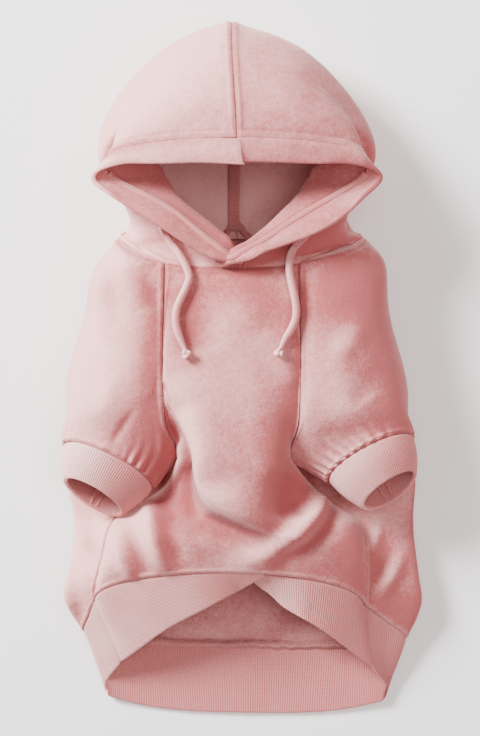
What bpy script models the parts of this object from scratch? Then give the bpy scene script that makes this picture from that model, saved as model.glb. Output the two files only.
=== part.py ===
"""A dog's hoodie in velour, filled out and lying on its back, belly side up.

The frame: x runs across the garment, y along it from the hem to the hood, z up from the
surface that it lies on. The origin is on the flat underside of the back panel.
Each panel is a wall of cloth that is worked out on a grid of its own. Panels that are sewn
together read the same seam curve with the same number of stitches, so they meet all along it.
"""
import math

import bmesh
import bpy
import numpy as np
from mathutils import Matrix, Vector

# Driving sizes, in metres
BODY_LENGTH = 0.278
BODY_HALF_WIDTH = 0.118
CHEST_HALF_WIDTH = 0.0445
CHEST_HEIGHT = 0.076
HEM_BAND_HEIGHT = 0.038
CUFF_LENGTH = 0.027
HOOD_LENGTH = 0.145
HOOD_HALF_WIDTH = 0.095
HOOD_RISE = 0.093
NECK_Y = 0.088
CLOTH = 0.002
RIB = 0.003
HOOD_BAND = 0.003
SEAM_GAP = 0.0003
DEEP_VALLEY = 0.5
EDGE_BEVEL = 0.7
CORD_DIAMETER = 0.0055
CORD_POINT_STEP = 1.5
KNOT_DIAMETER = 0.0085
KNOT_LENGTH = 0.9

# How the garment lies
CHEST_SHIFT = -0.0035
HEM_SHIFT = 0.006
HEM_TILT = 0.002
SIDE_SEAM_SHIFT = -0.0088
LEAN_START = 0.375
LEAN_LENGTH = 0.5
LEFT_BULGE = 0.005
BULGE_AT = 0.88
BULGE_REACH = 0.08
RIGHT_SHOULDER = 0.008
SHOULDER_AT = 0.03
SHOULDER_REACH = 0.07
OUTER = 0.6
UNDERARM_AT = 1.12
UNDERARM_REACH = 0.25
UNDERARM_TUCK = 0.4
UNDERARM_HOLLOW = 0.8
HEM_TIP = 0.7
HEM_TIP_HEIGHT = 0.15
HEM_UNDERLAP = 0.4
SLEEVE_DROOP = 0.006
DROOP_START = 0.8
CUFF_BELLY = 0.0015
FOLD_HEIGHT = 0.005
FOLD_HALF_WIDTH = 0.009
FLOOR_SHARE = 0.5

# Steps of the grids
CHEST_HALF_STEPS = 8
SLEEVE_FRONT_STEPS = 5
SLEEVE_BACK_STEPS = 7
BACK_HALF_STEPS = 8
RAGLAN_STEPS = 12
SIDE_STEPS = 9
SLEEVE_END_STEPS = 4
CUFF_STEPS = 3
HEM_STEPS = 4
LEFT = -1
RIGHT = 1


def table(columns, *rows):
    """Name the columns of a short table."""
    return dict(zip(columns.split(), np.array(rows, float).T))


# Lengths along the body are shares of BODY_LENGTH down from the back of the neck, lengths up
# are shares of CHEST_HEIGHT, and lengths outwards of the width that each table names.
# The raglan seam at the chest, outwards in shares of CHEST_HALF_WIDTH
FRONT_SEAM = table(
    "at out down up",
    (0, 0.99, 0.068, 0.85),
    (0.25, 1.0, 0.237, 0.93),
    (0.5, 1.0, 0.381, 0.92),
    (0.7, 0.966, 0.46, 0.84),
    (0.85, 0.86, 0.504, 0.71),
    (1, 0.843, 0.536, 0.58),
)
# The raglan seam at the back, outwards in shares of BODY_HALF_WIDTH
BACK_SEAM = table(
    "at out down up",
    (0, 0.441, -0.007, 0.039),
    (0.25, 0.661, 0.165, 0.039),
    (0.5, 0.814, 0.353, 0.092),
    (0.65, 0.847, 0.439, 0.145),
    (0.75, 0.771, 0.493, 0.184),
    (0.85, 0.627, 0.522, 0.237),
    (0.93, 0.466, 0.532, 0.355),
)
# The side seam from the underarm to the hem, outwards in shares of BODY_HALF_WIDTH
SIDE_SEAM = table(
    "at out down up",
    (0.15, 0.41, 0.60, 0.36),
    (0.3, 0.53, 0.64, 0.30),
    (0.5, 0.695, 0.687, 0.36),
    (0.75, 0.746, 0.784, 0.46),
    (1, 0.746, 0.885, 0.40),
)
# The middle of the chest and belly, with the fullness of the panel across
FRONT_ROWS = table(
    "at down up fullness",
    (0, 0.079, 0.88, 2.0),
    (0.36, 0.209, 0.987, 2.4),
    (0.72, 0.374, 1.026, 2.6),
    (1, 0.525, 1.02, 3.2),
    (1.16, 0.58, 0.99, 2.0),
    (1.32, 0.64, 0.94, 1.7),
    (1.5, 0.69, 0.88, 2.0),
    (1.66, 0.735, 0.816, 2.4),
    (2, 0.809, 0.684, 2.0),
)
# The back panel across: its widest point, where it leaves the surface, and its middle
BACK_ROWS = table(
    "at side_out side_down side_up foot_out foot_down down up",
    (0, 0.373, -0.004, 0.029, 0.22, 0.0, 0.0, 0.026),
    (0.25, 0.542, 0.165, 0.016, 0.339, 0.165, 0.165, 0),
    (0.5, 0.678, 0.317, 0.03, 0.475, 0.317, 0.317, 0),
    (0.7, 0.822, 0.432, 0.08, 0.64, 0.424, 0.424, 0),
    (0.85, 0.90, 0.496, 0.11, 0.73, 0.489, 0.489, 0),
    (1, 0.924, 0.547, 0.10, 0.78, 0.547, 0.54, 0),
    (1.32, 0.945, 0.669, 0.17, 0.80, 0.669, 0.669, 0),
    (1.66, 0.985, 0.81, 0.27, 0.80, 0.81, 0.791, 0),
    (1.84, 1.0, 0.885, 0.25, 0.76, 0.90, 0.90, 0),
    (2, 0.92, 0.966, 0.184, 0.66, 0.99, 1.0, 0.02),
)
# Ovals of the sleeve: middle, half width across the arm, half depth, and where its cloth
# starts at the chest seam and ends at the back seam, in degrees round from the body side
SLEEVE = table(
    "at out down up wide_out wide_down deep_down deep_up start end",
    (0, 0.424, 0.032, 0.461, 0.254, -0.025, 0.029, 0.408, 80, 268),
    (0.1, 0.487, 0.097, 0.485, 0.318, -0.020, 0.020, 0.43, 77, 259),
    (0.25, 0.525, 0.209, 0.50, 0.339, -0.014, 0.011, 0.447, 68, 246),
    (0.5, 0.61, 0.353, 0.526, 0.347, -0.018, 0.0, 0.434, 54, 240),
    (0.65, 0.64, 0.425, 0.55, 0.339, -0.026, -0.010, 0.40, 44, 236),
    (0.75, 0.648, 0.448, 0.57, 0.339, -0.034, -0.020, 0.375, 36, 250),
    (0.85, 0.653, 0.468, 0.60, 0.339, -0.043, -0.030, 0.335, 22, 275),
    (0.93, 0.656, 0.478, 0.62, 0.335, -0.047, -0.040, 0.30, 10, 310),
    (1, 0.672, 0.488, 0.66, 0.327, -0.05, -0.050, 0.26, 0, 360),
    (1.3, 0.699, 0.50, 0.63, 0.297, -0.05, -0.044, 0.262, 0, 360),
    (2, 0.746, 0.534, 0.605, 0.246, -0.049, -0.038, 0.25, 0, 360),
)
# The cuff's mouth, with its middle in shares of CUFF_LENGTH on from the sleeve's end
CUFF_MOUTH = table(
    "out down up wide_out wide_down deep_down deep_up",
    (0.40, 0.74, 0.0, 0.165, -0.038, -0.032, 0.197),
)
# The hem band's lower edge, from the middle of the belly to the middle of the back, with its
# drop below the hem seam in shares of HEM_BAND_HEIGHT
HEM_EDGE = table(
    "at out drop up",
    (0, 0.034, 0.29, 0.579),
    (0.125, 0.229, 0.57, 0.566),
    (0.25, 0.424, 0.79, 0.487),
    (0.375, 0.593, 1.0, 0.355),
    (0.5, 0.72, 1.08, 0.237),
    (0.625, 0.818, 0.99, 0.079),
    (0.6875, 0.79, 1.01, 0.039),
    (0.75, 0.65, 1.08, 0.013),
    (0.875, 0.322, 1.14, 0.0),
    (1, 0.0, 1.15, 0.0),
)
# The hood over the head: shares of HOOD_HALF_WIDTH outwards, of HOOD_LENGTH on from the neck
# and of HOOD_RISE up, at seven places from its middle seam to the side of the neck
HOOD_PLACES = (0, 0.2, 0.4, 0.6, 0.8, 0.9, 0.95)
HOOD_ROWS = (
    # back low
    (0.154, (0, 0.345, 0.0108), (0.316, 0.338, 0.0108), (0.547, 0.255, 0.0108),
     (0.674, 0.152, 0.0323), (0.737, 0.0552, 0.129), (0.8, 0.0138, 0.237), (0.821, 0, 0.323)),
    # back high
    (0.308, (0, 0.738, 0.0108), (0.379, 0.697, 0.0108), (0.663, 0.503, 0.0108),
     (0.8, 0.31, 0.0538), (0.737, 0.103, 0.151), (0.789, 0.0207, 0.301),
     (0.811, -0.0138, 0.387)),
    # equator
    (0.462, (0, 0.993, 0.409), (0.484, 0.869, 0.387), (0.842, 0.628, 0.366),
     (0.947, 0.393, 0.344), (0.758, 0.131, 0.366), (0.747, 0.0276, 0.43),
     (0.747, -0.0207, 0.495)),
    # crown
    (0.615, (0, 0.8, 0.806), (0.453, 0.738, 0.731), (0.779, 0.538, 0.656),
     (0.937, 0.345, 0.559), (0.726, 0.0897, 0.559), (0.632, 0, 0.581), (0.611, -0.0552, 0.57)),
    # fold
    (0.769, (0, 0.552, 0.989), (0.474, 0.531, 0.925), (0.811, 0.448, 0.742),
     (0.568, 0.297, 0.538), (0.358, 0.124, 0.667), (0.126, 0.0069, 0.731),
     (0.0421, -0.0414, 0.742)),
    # seam of the band
    (0.846, (0, 0.428, 1.01), (0.463, 0.417, 0.946), (0.821, 0.379, 0.806),
     (0.832, 0.248, 0.645), (0.432, 0.0828, 0.785), (0.189, -0.0414, 0.796),
     (0.0947, -0.0828, 0.785)),
    # rim
    (1, (0, 0.324, 1), (0.463, 0.321, 0.946), (0.832, 0.314, 0.849),
     (0.989, 0.234, 0.731), (0.526, 0.0345, 0.86), (0.242, -0.0828, 0.839),
     (0.126, -0.117, 0.828)),
)

# Folds of the belly: where each runs, in shares of CHEST_HALF_WIDTH out and BODY_LENGTH down,
# then its height in shares of FOLD_HEIGHT and its half width in shares of FOLD_HALF_WIDTH
FOLDS = (
    # from the left underarm to the middle
    (((-0.92, 0.43), (-0.66, 0.52), (-0.5, 0.60), (-0.22, 0.68), (0.2, 0.74), (0.66, 0.78)),
     1.0, 1.0),
    # the hollow under it
    (((-0.84, 0.60), (-0.56, 0.70), (-0.1, 0.765), (0.3, 0.79)), -0.9, 0.94),
    # from the right underarm to the middle
    (((1.35, 0.60), (1.26, 0.66), (0.95, 0.73), (0.5, 0.79), (0.1, 0.80)), 1.0, 0.94),
    # the hollow above it
    (((0.75, 0.56), (0.62, 0.63), (0.5, 0.69)), -0.8, 1.1),
    # the hollow right of it
    (((1.5, 0.70), (1.2, 0.76), (0.9, 0.81)), -0.7, 0.9),
)

# The drawcords' routes in metres, from under the hood's rim down over the chest to their knots
CORD_ROUTES = {
    "left": (
        (-0.0495, 0.0935, 0.0690), (-0.0470, 0.0885, 0.0645), (-0.0430, 0.0820, 0.0640),
        (-0.0375, 0.0740, 0.0675), (-0.0335, 0.0670, 0.0700), (-0.0313, 0.0600, 0.0715),
        (-0.0333, 0.0530, 0.0731), (-0.0368, 0.0455, 0.0741), (-0.0395, 0.0385, 0.0751),
        (-0.0402, 0.0320, 0.0760), (-0.0388, 0.0240, 0.0770), (-0.0360, 0.0165, 0.0778),
        (-0.0340, 0.0120, 0.0784),
    ),
    "right": (
        (0.0470, 0.0895, 0.0680), (0.0440, 0.0860, 0.0650), (0.0395, 0.0815, 0.0638),
        (0.0362, 0.0765, 0.0656), (0.0346, 0.0700, 0.0684), (0.0346, 0.0640, 0.0702),
        (0.0362, 0.0550, 0.0718), (0.0382, 0.0455, 0.0732), (0.0391, 0.0385, 0.0740),
        (0.0384, 0.0320, 0.0750), (0.0355, 0.0250, 0.0764), (0.0313, 0.0182, 0.0776),
        (0.0290, 0.0130, 0.0782),
    ),
}


def through(knots, values, at):
    """Read a smooth curve through the values at the knots, at other places.

    Each span is a cubic. Its slope at a knot is the mean of the two chords' slopes there, the
    shorter chord counting more, and at an end it follows from the span's own chord.
    """
    knots = np.asarray(knots, float)
    values = np.asarray(values, float)
    at = np.atleast_1d(np.asarray(at, float))
    shape = (-1,) + (1,) * (values.ndim - 1)
    span = np.diff(knots).reshape(shape)
    chord = np.diff(values, axis=0) / span
    slope = np.empty_like(values)
    slope[1:-1] = (chord[:-1] * span[1:] + chord[1:] * span[:-1]) / (span[:-1] + span[1:])
    slope[0] = 1.5 * chord[0] - 0.5 * slope[1]
    slope[-1] = 1.5 * chord[-1] - 0.5 * slope[-2]
    i = np.clip(np.searchsorted(knots, at, side="right") - 1, 0, len(knots) - 2)
    width = span[i]
    share = (at - knots[i]).reshape(shape) / width
    ease = share * share * (3 - 2 * share)
    return (values[i] + (values[i + 1] - values[i]) * ease
            + slope[i] * width * share * (1 - share) ** 2
            - slope[i + 1] * width * share ** 2 * (1 - share))


def read(rows, names, at):
    """Read named columns of a table at other places."""
    return through(rows["at"], np.stack([rows[name] for name in names.split()], -1), at)


def placed(out, down, up, half_width):
    """Turn shares into a point: outwards, down the body from the neck, and up."""
    x, y, z = np.broadcast_arrays(out * half_width, NECK_Y - down * BODY_LENGTH, up * CHEST_HEIGHT)
    return np.stack([x, y, z], -1)


def smooth(share):
    """Ease from 0 to 1."""
    share = np.clip(share, 0, 1)
    return share * share * (3 - 2 * share)


def front_seam(side, at):
    """The raglan seam at the chest, from the neck at 0 to the underarm at 1."""
    points = placed(*read(FRONT_SEAM, "out down up", at).T, CHEST_HALF_WIDTH)
    points[:, 0] = points[:, 0] * side + CHEST_SHIFT
    return points


def underarm(side):
    """The point under the arm where the raglan and side seams meet."""
    return front_seam(side, 1)[0]


def back_seam(side, at):
    """The raglan seam at the back, from the neck at 0 to the underarm at 1."""
    rows = placed(BACK_SEAM["out"], BACK_SEAM["down"], BACK_SEAM["up"], BODY_HALF_WIDTH)
    rows[:, 0] *= side
    knots = np.append(BACK_SEAM["at"], 1)
    return through(knots, np.vstack([rows, underarm(side)]), at)


def side_seam(side, at):
    """The side seam, from the underarm at 0 to the hem at 1."""
    rows = placed(SIDE_SEAM["out"], SIDE_SEAM["down"], SIDE_SEAM["up"], BODY_HALF_WIDTH)
    rows[:, 0] = rows[:, 0] * side + SIDE_SEAM_SHIFT * SIDE_SEAM["at"]
    knots = np.append(0, SIDE_SEAM["at"])
    return through(knots, np.vstack([underarm(side), rows]), at)


RAGLAN = np.linspace(0, 1, RAGLAN_STEPS + 1)
SIDE = np.linspace(0, 1, SIDE_STEPS + 1)[1:]
BODY_AT = np.concatenate([RAGLAN, 1 + SIDE])


def front_edge(side):
    """The chest panel's edge: down the raglan seam, then down the side seam."""
    return np.vstack([front_seam(side, RAGLAN), side_seam(side, SIDE)])


def back_edge(side):
    """The back panel's edge: down the raglan seam, then down the side seam."""
    return np.vstack([back_seam(side, RAGLAN), side_seam(side, SIDE)])


def chest_grid():
    """The chest and belly: each row is an oval arch from edge to edge over the middle.

    Across the row an angle runs from -90 to 90 degrees. The way out is its sine and the way
    down from the middle is one minus its cosine, both to the power of 2 over the fullness.
    """
    down, up, fullness = read(FRONT_ROWS, "down up fullness", BODY_AT).T
    middle = placed(np.zeros_like(down), down, up, CHEST_HALF_WIDTH)
    edges = {side: front_edge(side) for side in (LEFT, RIGHT)}
    middle[:, 0] = (edges[LEFT][:, 0] + edges[RIGHT][:, 0]) / 2
    columns = []
    for step in range(-CHEST_HALF_STEPS, CHEST_HALF_STEPS + 1):
        angle = abs(step) / CHEST_HALF_STEPS * math.pi / 2
        out = np.sin(angle) ** (2 / fullness)
        drop = 1 - np.maximum(np.cos(angle), 0) ** (2 / fullness)
        edge = edges[LEFT if step < 0 else RIGHT]
        share = np.stack([out, drop, drop], -1) if step else np.zeros_like(middle)
        if abs(step) == CHEST_HALF_STEPS:
            share = np.ones_like(middle)
        columns.append(middle + (edge - middle) * share)
    grid = np.stack(columns, 1)
    return fold_belly(grid)


def fold_belly(grid):
    """Raise the folds: each is a bell across its line, and dies away at the panel's edges."""
    rows, columns = grid.shape[:2]
    inside = np.sin(np.linspace(0, math.pi, rows))[:, None] ** 0.5
    inside = inside * np.clip(4 * np.sin(np.linspace(0, math.pi, columns)), 0, 1)[None, :]
    lift = np.zeros((rows, columns))
    for line, height, width in FOLDS:
        plan = placed(*np.array(line).T, 0, CHEST_HALF_WIDTH)[:, :2] + (CHEST_SHIFT, 0)
        away = np.full((rows, columns), np.inf)
        for start, end in zip(plan[:-1], plan[1:]):
            run = end - start
            share = np.clip(((grid[..., :2] - start) @ run) / (run @ run), 0, 1)
            nearest = start + share[..., None] * run
            away = np.minimum(away, np.linalg.norm(grid[..., :2] - nearest, axis=-1))
        lift += height * FOLD_HEIGHT * np.exp(-(away / (width * FOLD_HALF_WIDTH)) ** 2)
    grid[..., 2] += lift * inside
    return grid


def back_grid():
    """The back: each row runs from its edge over its widest point to the flat middle."""
    side_out, side_down, side_up, foot_out, foot_down, down, up = read(
        BACK_ROWS, "side_out side_down side_up foot_out foot_down down up", BODY_AT).T
    side = placed(side_out, side_down, side_up, BODY_HALF_WIDTH)
    foot = placed(foot_out, foot_down, up, BODY_HALF_WIDTH)
    middle = placed(np.zeros_like(down), down, up, BODY_HALF_WIDTH)
    mirror = np.array([-1, 1, 1])
    edges = {LEFT: back_edge(LEFT), RIGHT: back_edge(RIGHT)}
    sides = {LEFT: side * mirror, RIGHT: side}
    under = {}
    tuck = np.exp(-((BODY_AT - UNDERARM_AT) / UNDERARM_REACH) ** 2)[:, None]
    share = 0.5 - UNDERARM_TUCK * tuck
    for hand in (LEFT, RIGHT):
        under[hand] = edges[hand] + (sides[hand] - edges[hand]) * share
        rise = under[hand][:, 2:] - side[:, 2:]
        under[hand][:, 2:] -= rise * UNDERARM_HOLLOW * tuck
    rows = np.stack([edges[LEFT], under[LEFT], sides[LEFT], foot * mirror, middle,
                     foot, sides[RIGHT], under[RIGHT], edges[RIGHT]])
    knots = (-1, -0.875, -0.75, -0.5, 0, 0.5, 0.75, 0.875, 1)
    at = np.linspace(-1, 1, 2 * BACK_HALF_STEPS + 1)
    grid = through(knots, rows, at).transpose(1, 0, 2)
    grid[..., 2] = np.maximum(grid[..., 2], 0)
    return grid


def oval(side, out, down, up, wide_out, wide_down, deep_down, deep_up, turn):
    """Points round the sleeve: the middle, less the cosine of the turn times the half width,
    plus its sine times the half depth."""
    cosine = np.cos(turn)
    sine = np.sin(turn)
    points = placed(out - wide_out * cosine, down - wide_down * cosine + deep_down * sine,
                    up + deep_up * sine, BODY_HALF_WIDTH)
    points[..., 0] *= side
    return points


def droop(side, points, share):
    """Let the left sleeve's end lie a little lower than the right one's."""
    points[..., 1] -= np.where(side == LEFT, SLEEVE_DROOP, 0) * smooth(share)
    return points


def sleeve_grid(side):
    """The sleeve: ovals from the neck to the cuff, open at the body down to the underarm.

    Each open oval is moved so that its two ends lie on the raglan seams, by a shift that
    fades from each end into the middle.
    """
    at = np.concatenate([RAGLAN, 1 + np.linspace(0, 1, SLEEVE_END_STEPS + 1)[1:]])
    names = "out down up wide_out wide_down deep_down deep_up start end"
    columns = read(SLEEVE, names, at).T[:, :, None]
    steps = SLEEVE_FRONT_STEPS + SLEEVE_BACK_STEPS
    around = np.linspace(0, 1, steps + 1)[None, :]
    start = np.clip(np.radians(columns[7]), 0, None)
    end = np.clip(np.radians(columns[8]), None, 2 * math.pi)
    points = oval(side, *columns[:7], start + (end - start) * around)
    seams = np.stack([front_seam(side, RAGLAN), back_seam(side, RAGLAN)], 1)
    slip = np.zeros((len(at), 2, 3))
    slip[:len(RAGLAN)] = seams - points[:len(RAGLAN), [0, -1]]
    fade = np.cos(np.linspace(0, math.pi / 2, SLEEVE_END_STEPS + 1)[1:])[:, None, None]
    slip[len(RAGLAN):] = slip[len(RAGLAN) - 1] * fade
    near = (1 - smooth(around * 2))[0, None, :, None]
    far = smooth(around * 2 - 1)[0, None, :, None]
    points = points + slip[:, :1] * near + slip[:, 1:] * far
    return droop(side, points, (at[:, None] - DROOP_START) / (at[-1] - DROOP_START))


def sleeve_index():
    """Number the sleeve's points: past the underarm, the last column is the first again."""
    rows = RAGLAN_STEPS + SLEEVE_END_STEPS + 1
    columns = SLEEVE_FRONT_STEPS + SLEEVE_BACK_STEPS + 1
    index = np.arange(rows * columns).reshape(rows, columns)
    index[RAGLAN_STEPS:, -1] = index[RAGLAN_STEPS:, 0]
    return index


def cuff_grid(side):
    """The cuff: straight from the sleeve's last oval to its mouth."""
    last = sleeve_grid(side)[-1]
    end = {name: column[-1] for name, column in SLEEVE.items()}
    mouth = {name: column[0] for name, column in CUFF_MOUTH.items()}
    turn = np.linspace(0, 2 * math.pi, len(last))
    ring = oval(side, end["out"] + mouth["out"] * CUFF_LENGTH / BODY_HALF_WIDTH,
                end["down"] + mouth["down"] * CUFF_LENGTH / BODY_LENGTH, end["up"] + mouth["up"],
                mouth["wide_out"], mouth["wide_down"], mouth["deep_down"], mouth["deep_up"], turn)
    ring = droop(side, ring, 1.0)
    share = np.linspace(0, 1, CUFF_STEPS + 1)[:, None, None]
    points = last + (ring - last) * share
    out = points - points[:, :-1].mean(1, keepdims=True)
    out /= np.linalg.norm(out, axis=-1, keepdims=True)
    return points + out * CUFF_BELLY * np.sin(share * math.pi)


def tube_index(rows, columns):
    """Number a tube's points: the last column is the first again."""
    index = np.arange(rows * columns).reshape(rows, columns)
    index[:, -1] = index[:, 0]
    return index


def neck_ring(side):
    """The neck seam from the middle of the back, over the sleeve, to the middle of the chest."""
    back = back_grid()[0]
    chest = chest_grid()[0]
    if side == LEFT:
        back = back[BACK_HALF_STEPS::-1]
        chest = chest[:CHEST_HALF_STEPS + 1]
    else:
        back = back[BACK_HALF_STEPS:]
        chest = chest[:CHEST_HALF_STEPS - 1:-1]
    sleeve = sleeve_grid(side)[0][::-1]
    return np.vstack([back[:-1], sleeve[:-1], chest])


HOOD_COLUMNS = BACK_HALF_STEPS + SLEEVE_BACK_STEPS
HOOD_STEPS = SLEEVE_FRONT_STEPS + CHEST_HALF_STEPS
BAND_STEPS = 2


def hood_grid(side):
    """One half of the hood, from the back of the neck over the head to the rim.

    The rows of the table and the neck seam are the knots of a cubic both ways. What is left
    between the cubic and the neck seam's own points fades over the first steps.
    """
    ring = neck_ring(side)
    low, front = ring[:HOOD_COLUMNS + 1], ring[HOOD_COLUMNS:]
    rows_at = np.array([0] + [row[0] for row in HOOD_ROWS])
    places = np.array(HOOD_PLACES + (1,))
    whole_columns = np.linspace(0, 1, HOOD_COLUMNS + 1)
    whole_rows = np.linspace(0, 1, HOOD_STEPS + 1)
    net = np.zeros((len(rows_at), len(places), 3))
    net[0] = through(whole_columns, low, places)
    for i, row in enumerate(HOOD_ROWS, 1):
        out, along, up = np.array(row[1:]).T
        net[i, :-1, 0] = out * HOOD_HALF_WIDTH * side
        net[i, :-1, 1] = NECK_Y + along * HOOD_LENGTH
        net[i, :-1, 2] = up * HOOD_RISE
    net[:, -1] = through(whole_rows, front, rows_at)
    grid = through(rows_at, net, whole_rows)
    grid = through(places, grid.transpose(1, 0, 2), whole_columns).transpose(1, 0, 2)
    fade = np.clip(1 - np.arange(HOOD_STEPS + 1) / 2, 0, 1)[:, None, None]
    grid = grid + (low - grid[0])[None] * fade
    fade = np.clip(1 - np.arange(HOOD_COLUMNS + 1)[::-1] / 2, 0, 1)[None, :, None]
    grid = grid + (front - grid[:, -1])[:, None] * fade
    grid[:, 0, 0] = 0
    grid[0, 0] = low[0]
    grid[..., 2] = np.maximum(grid[..., 2], 0)
    return grid


def hem_grid():
    """The hem band, once round from the middle of the belly over the right side.

    Its rows run from the body's hem seam to its lower edge. Its left end lies over its right
    one and tapers to a tip, so the right end is sunk under it by a band's thickness.
    """
    chest = chest_grid()[-1]
    back = back_grid()[-1]
    right = chest[CHEST_HALF_STEPS:]
    left = chest[:CHEST_HALF_STEPS + 1]
    top = np.vstack([right[:-1], back[::-1][:-1], left])
    half = np.linspace(0, 1, len(top) // 2 + 1)
    out, drop, up = read(HEM_EDGE, "out drop up", half).T
    low = top.copy()
    low[:, 0] = np.append(out, -out[-2::-1]) * BODY_HALF_WIDTH
    low[:, 1] -= np.append(drop, drop[-2::-1]) * HEM_BAND_HEIGHT
    low[:, 2] = np.append(up, up[-2::-1]) * CHEST_HEIGHT
    tip = right[0] + (right[1] - right[0]) * HEM_TIP
    top = np.vstack([top, tip])
    low = np.vstack([low, tip + (low[0] - top[0]) * HEM_TIP_HEIGHT])
    top[0] += (top[-2] - top[-3]) * HEM_UNDERLAP
    low[0] += (top[-2] - top[-3]) * HEM_UNDERLAP
    sunk = np.zeros(len(top))
    sunk[:2] = RIB + 2 * SEAM_GAP
    share = np.linspace(0, 1, HEM_STEPS + 1)[:, None, None]
    grid = top + (low - top) * share
    grid[..., 2] = np.maximum(grid[..., 2] - sunk, 0)
    return grid


def lean(points):
    """Shift the lower body a little to the right and tilt its hem, and fill out the right
    shoulder and the left side above the hem, each by a bell along the body."""
    down = (NECK_Y - points[..., 1]) / BODY_LENGTH
    share = smooth((down - LEAN_START) / LEAN_LENGTH)
    out = points[..., 0] / BODY_HALF_WIDTH
    bulge = np.exp(-((down - BULGE_AT) / BULGE_REACH) ** 2) * smooth(-2 * out - OUTER)
    shoulder = np.exp(-((down - SHOULDER_AT) / SHOULDER_REACH) ** 2) * smooth(2 * out - OUTER)
    moved = points.copy()
    moved[..., 0] += HEM_SHIFT * share - LEFT_BULGE * bulge + RIGHT_SHOULDER * shoulder
    moved[..., 1] -= HEM_TILT * share * out
    return moved


class Panel:
    """A grid of cloth, seen from outside, that becomes a wall with its thickness inwards."""

    def __init__(self, name, grid, handed, thickness, index=None):
        rows, columns = grid.shape[:2]
        if index is None:
            index = np.arange(rows * columns).reshape(rows, columns)
        used, numbers = np.unique(index, return_inverse=True)
        self.name = name
        self.thickness = thickness
        self.points = lean(grid.reshape(-1, 3)[used])
        numbers = numbers.reshape(index.shape)
        corners = np.stack([numbers[:-1, :-1], numbers[1:, :-1],
                            numbers[1:, 1:], numbers[:-1, 1:]], -1).reshape(-1, 4)
        if handed < 0:
            corners = corners[:, ::-1]
        self.faces = self.split(corners)
        self.border = self.border_edges()
        self.edge = np.unique(self.border)
        self.normals = self.vertex_normals()
        self.ways = self.inwards()

    def split(self, corners):
        """Cut each four-sided face along its shorter diagonal."""
        p = self.points[corners]
        length = np.linalg.norm(p[:, [0, 1]] - p[:, [2, 3]], axis=-1)
        first = (length[:, 0] <= length[:, 1])[:, None]
        one = np.where(first, corners[:, [0, 1, 2]], corners[:, [0, 1, 3]])
        two = np.where(first, corners[:, [0, 2, 3]], corners[:, [1, 2, 3]])
        return np.vstack([one, two])

    def border_edges(self):
        """The edges that only one face uses, in that face's direction."""
        edges = np.vstack([self.faces[:, [0, 1]], self.faces[:, [1, 2]], self.faces[:, [2, 0]]])
        present = set(map(tuple, edges.tolist()))
        return np.array([edge for edge in edges.tolist() if (edge[1], edge[0]) not in present])

    def vertex_normals(self):
        """The mean of the faces' normals round each point, larger faces counting more."""
        p = self.points[self.faces]
        face = np.cross(p[:, 1] - p[:, 0], p[:, 2] - p[:, 0])
        total = np.zeros_like(self.points)
        for corner in range(3):
            np.add.at(total, self.faces[:, corner], face)
        return total / np.linalg.norm(total, axis=-1, keepdims=True)

    def inwards(self):
        """At each border point, the direction into the panel."""
        centres = self.points[self.faces].mean(1)
        total = np.zeros_like(self.points)
        count = np.zeros(len(self.points))
        for corner in range(3):
            np.add.at(total, self.faces[:, corner], centres)
            np.add.at(count, self.faces[:, corner], 1)
        way = total / count[:, None] - self.points
        return way / np.linalg.norm(way, axis=-1, keepdims=True)

    def solid(self):
        """The outer wall, the inner wall and the strip that joins them round the border."""
        outer = self.points.copy()
        outer[self.edge] += self.ways[self.edge] * SEAM_GAP
        inner = outer - self.normals * self.thickness
        inner[self.edge] += self.ways[self.edge] * self.thickness * EDGE_BEVEL
        inner[:, 2] = np.maximum(inner[:, 2], self.thickness * FLOOR_SHARE)
        outer[:, 2] = np.maximum(outer[:, 2], 0)
        count = len(outer)
        a, b = self.border.T
        strip = np.vstack([np.stack([b, a, a + count], -1),
                           np.stack([b, a + count, b + count], -1)])
        faces = np.vstack([self.faces, self.faces[:, ::-1] + count, strip])
        return np.vstack([outer, inner]), faces


def mitre(panels):
    """Where panels meet, give their border points one shared normal, so that the walls mitre.

    In a deep valley the walls part by themselves, and each keeps its own normal.
    """
    for panel in panels:
        panel.shared = panel.normals.copy()
    for panel in panels:
        own = panel.points[panel.edge]
        for other in panels:
            if other is panel:
                continue
            gap = np.linalg.norm(own[:, None] - other.points[other.edge][None], axis=-1)
            nearest = other.edge[gap.argmin(1)]
            valley = (other.ways[nearest] * panel.normals[panel.edge]).sum(-1) > DEEP_VALLEY
            joined = (gap.min(1) < SEAM_GAP) & ~valley
            panel.shared[panel.edge[joined]] += other.normals[nearest[joined]]
    for panel in panels:
        panel.normals = panel.shared / np.linalg.norm(panel.shared, axis=-1, keepdims=True)


def finish(name, colour, roughness):
    """A cloth finish for one piece."""
    material = bpy.data.materials.new(name)
    material.use_nodes = True
    shader = material.node_tree.nodes["Principled BSDF"]
    shader.inputs["Base Color"].default_value = (*colour, 1)
    shader.inputs["Roughness"].default_value = roughness
    shader.inputs["Metallic"].default_value = 0
    return material


VELOUR = (0.73, 0.40, 0.39)
RIBBING = (0.68, 0.36, 0.35)
CORD = (0.66, 0.34, 0.33)
CLOTH_ROUGHNESS = 0.9
CORD_ROUGHNESS = 0.95
SHARP_ANGLE = math.radians(50)


def build(panel, colour):
    """Make one panel's object."""
    points, faces = panel.solid()
    mesh = bpy.data.meshes.new(panel.name)
    mesh.from_pydata(points.tolist(), [], faces.tolist())
    mesh.shade_smooth()
    mesh.set_sharp_from_angle(angle=SHARP_ANGLE)
    mesh.materials.append(finish(panel.name, colour, CLOTH_ROUGHNESS))
    piece = bpy.data.objects.new(panel.name, mesh)
    bpy.context.scene.collection.objects.link(piece)
    return piece


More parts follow.
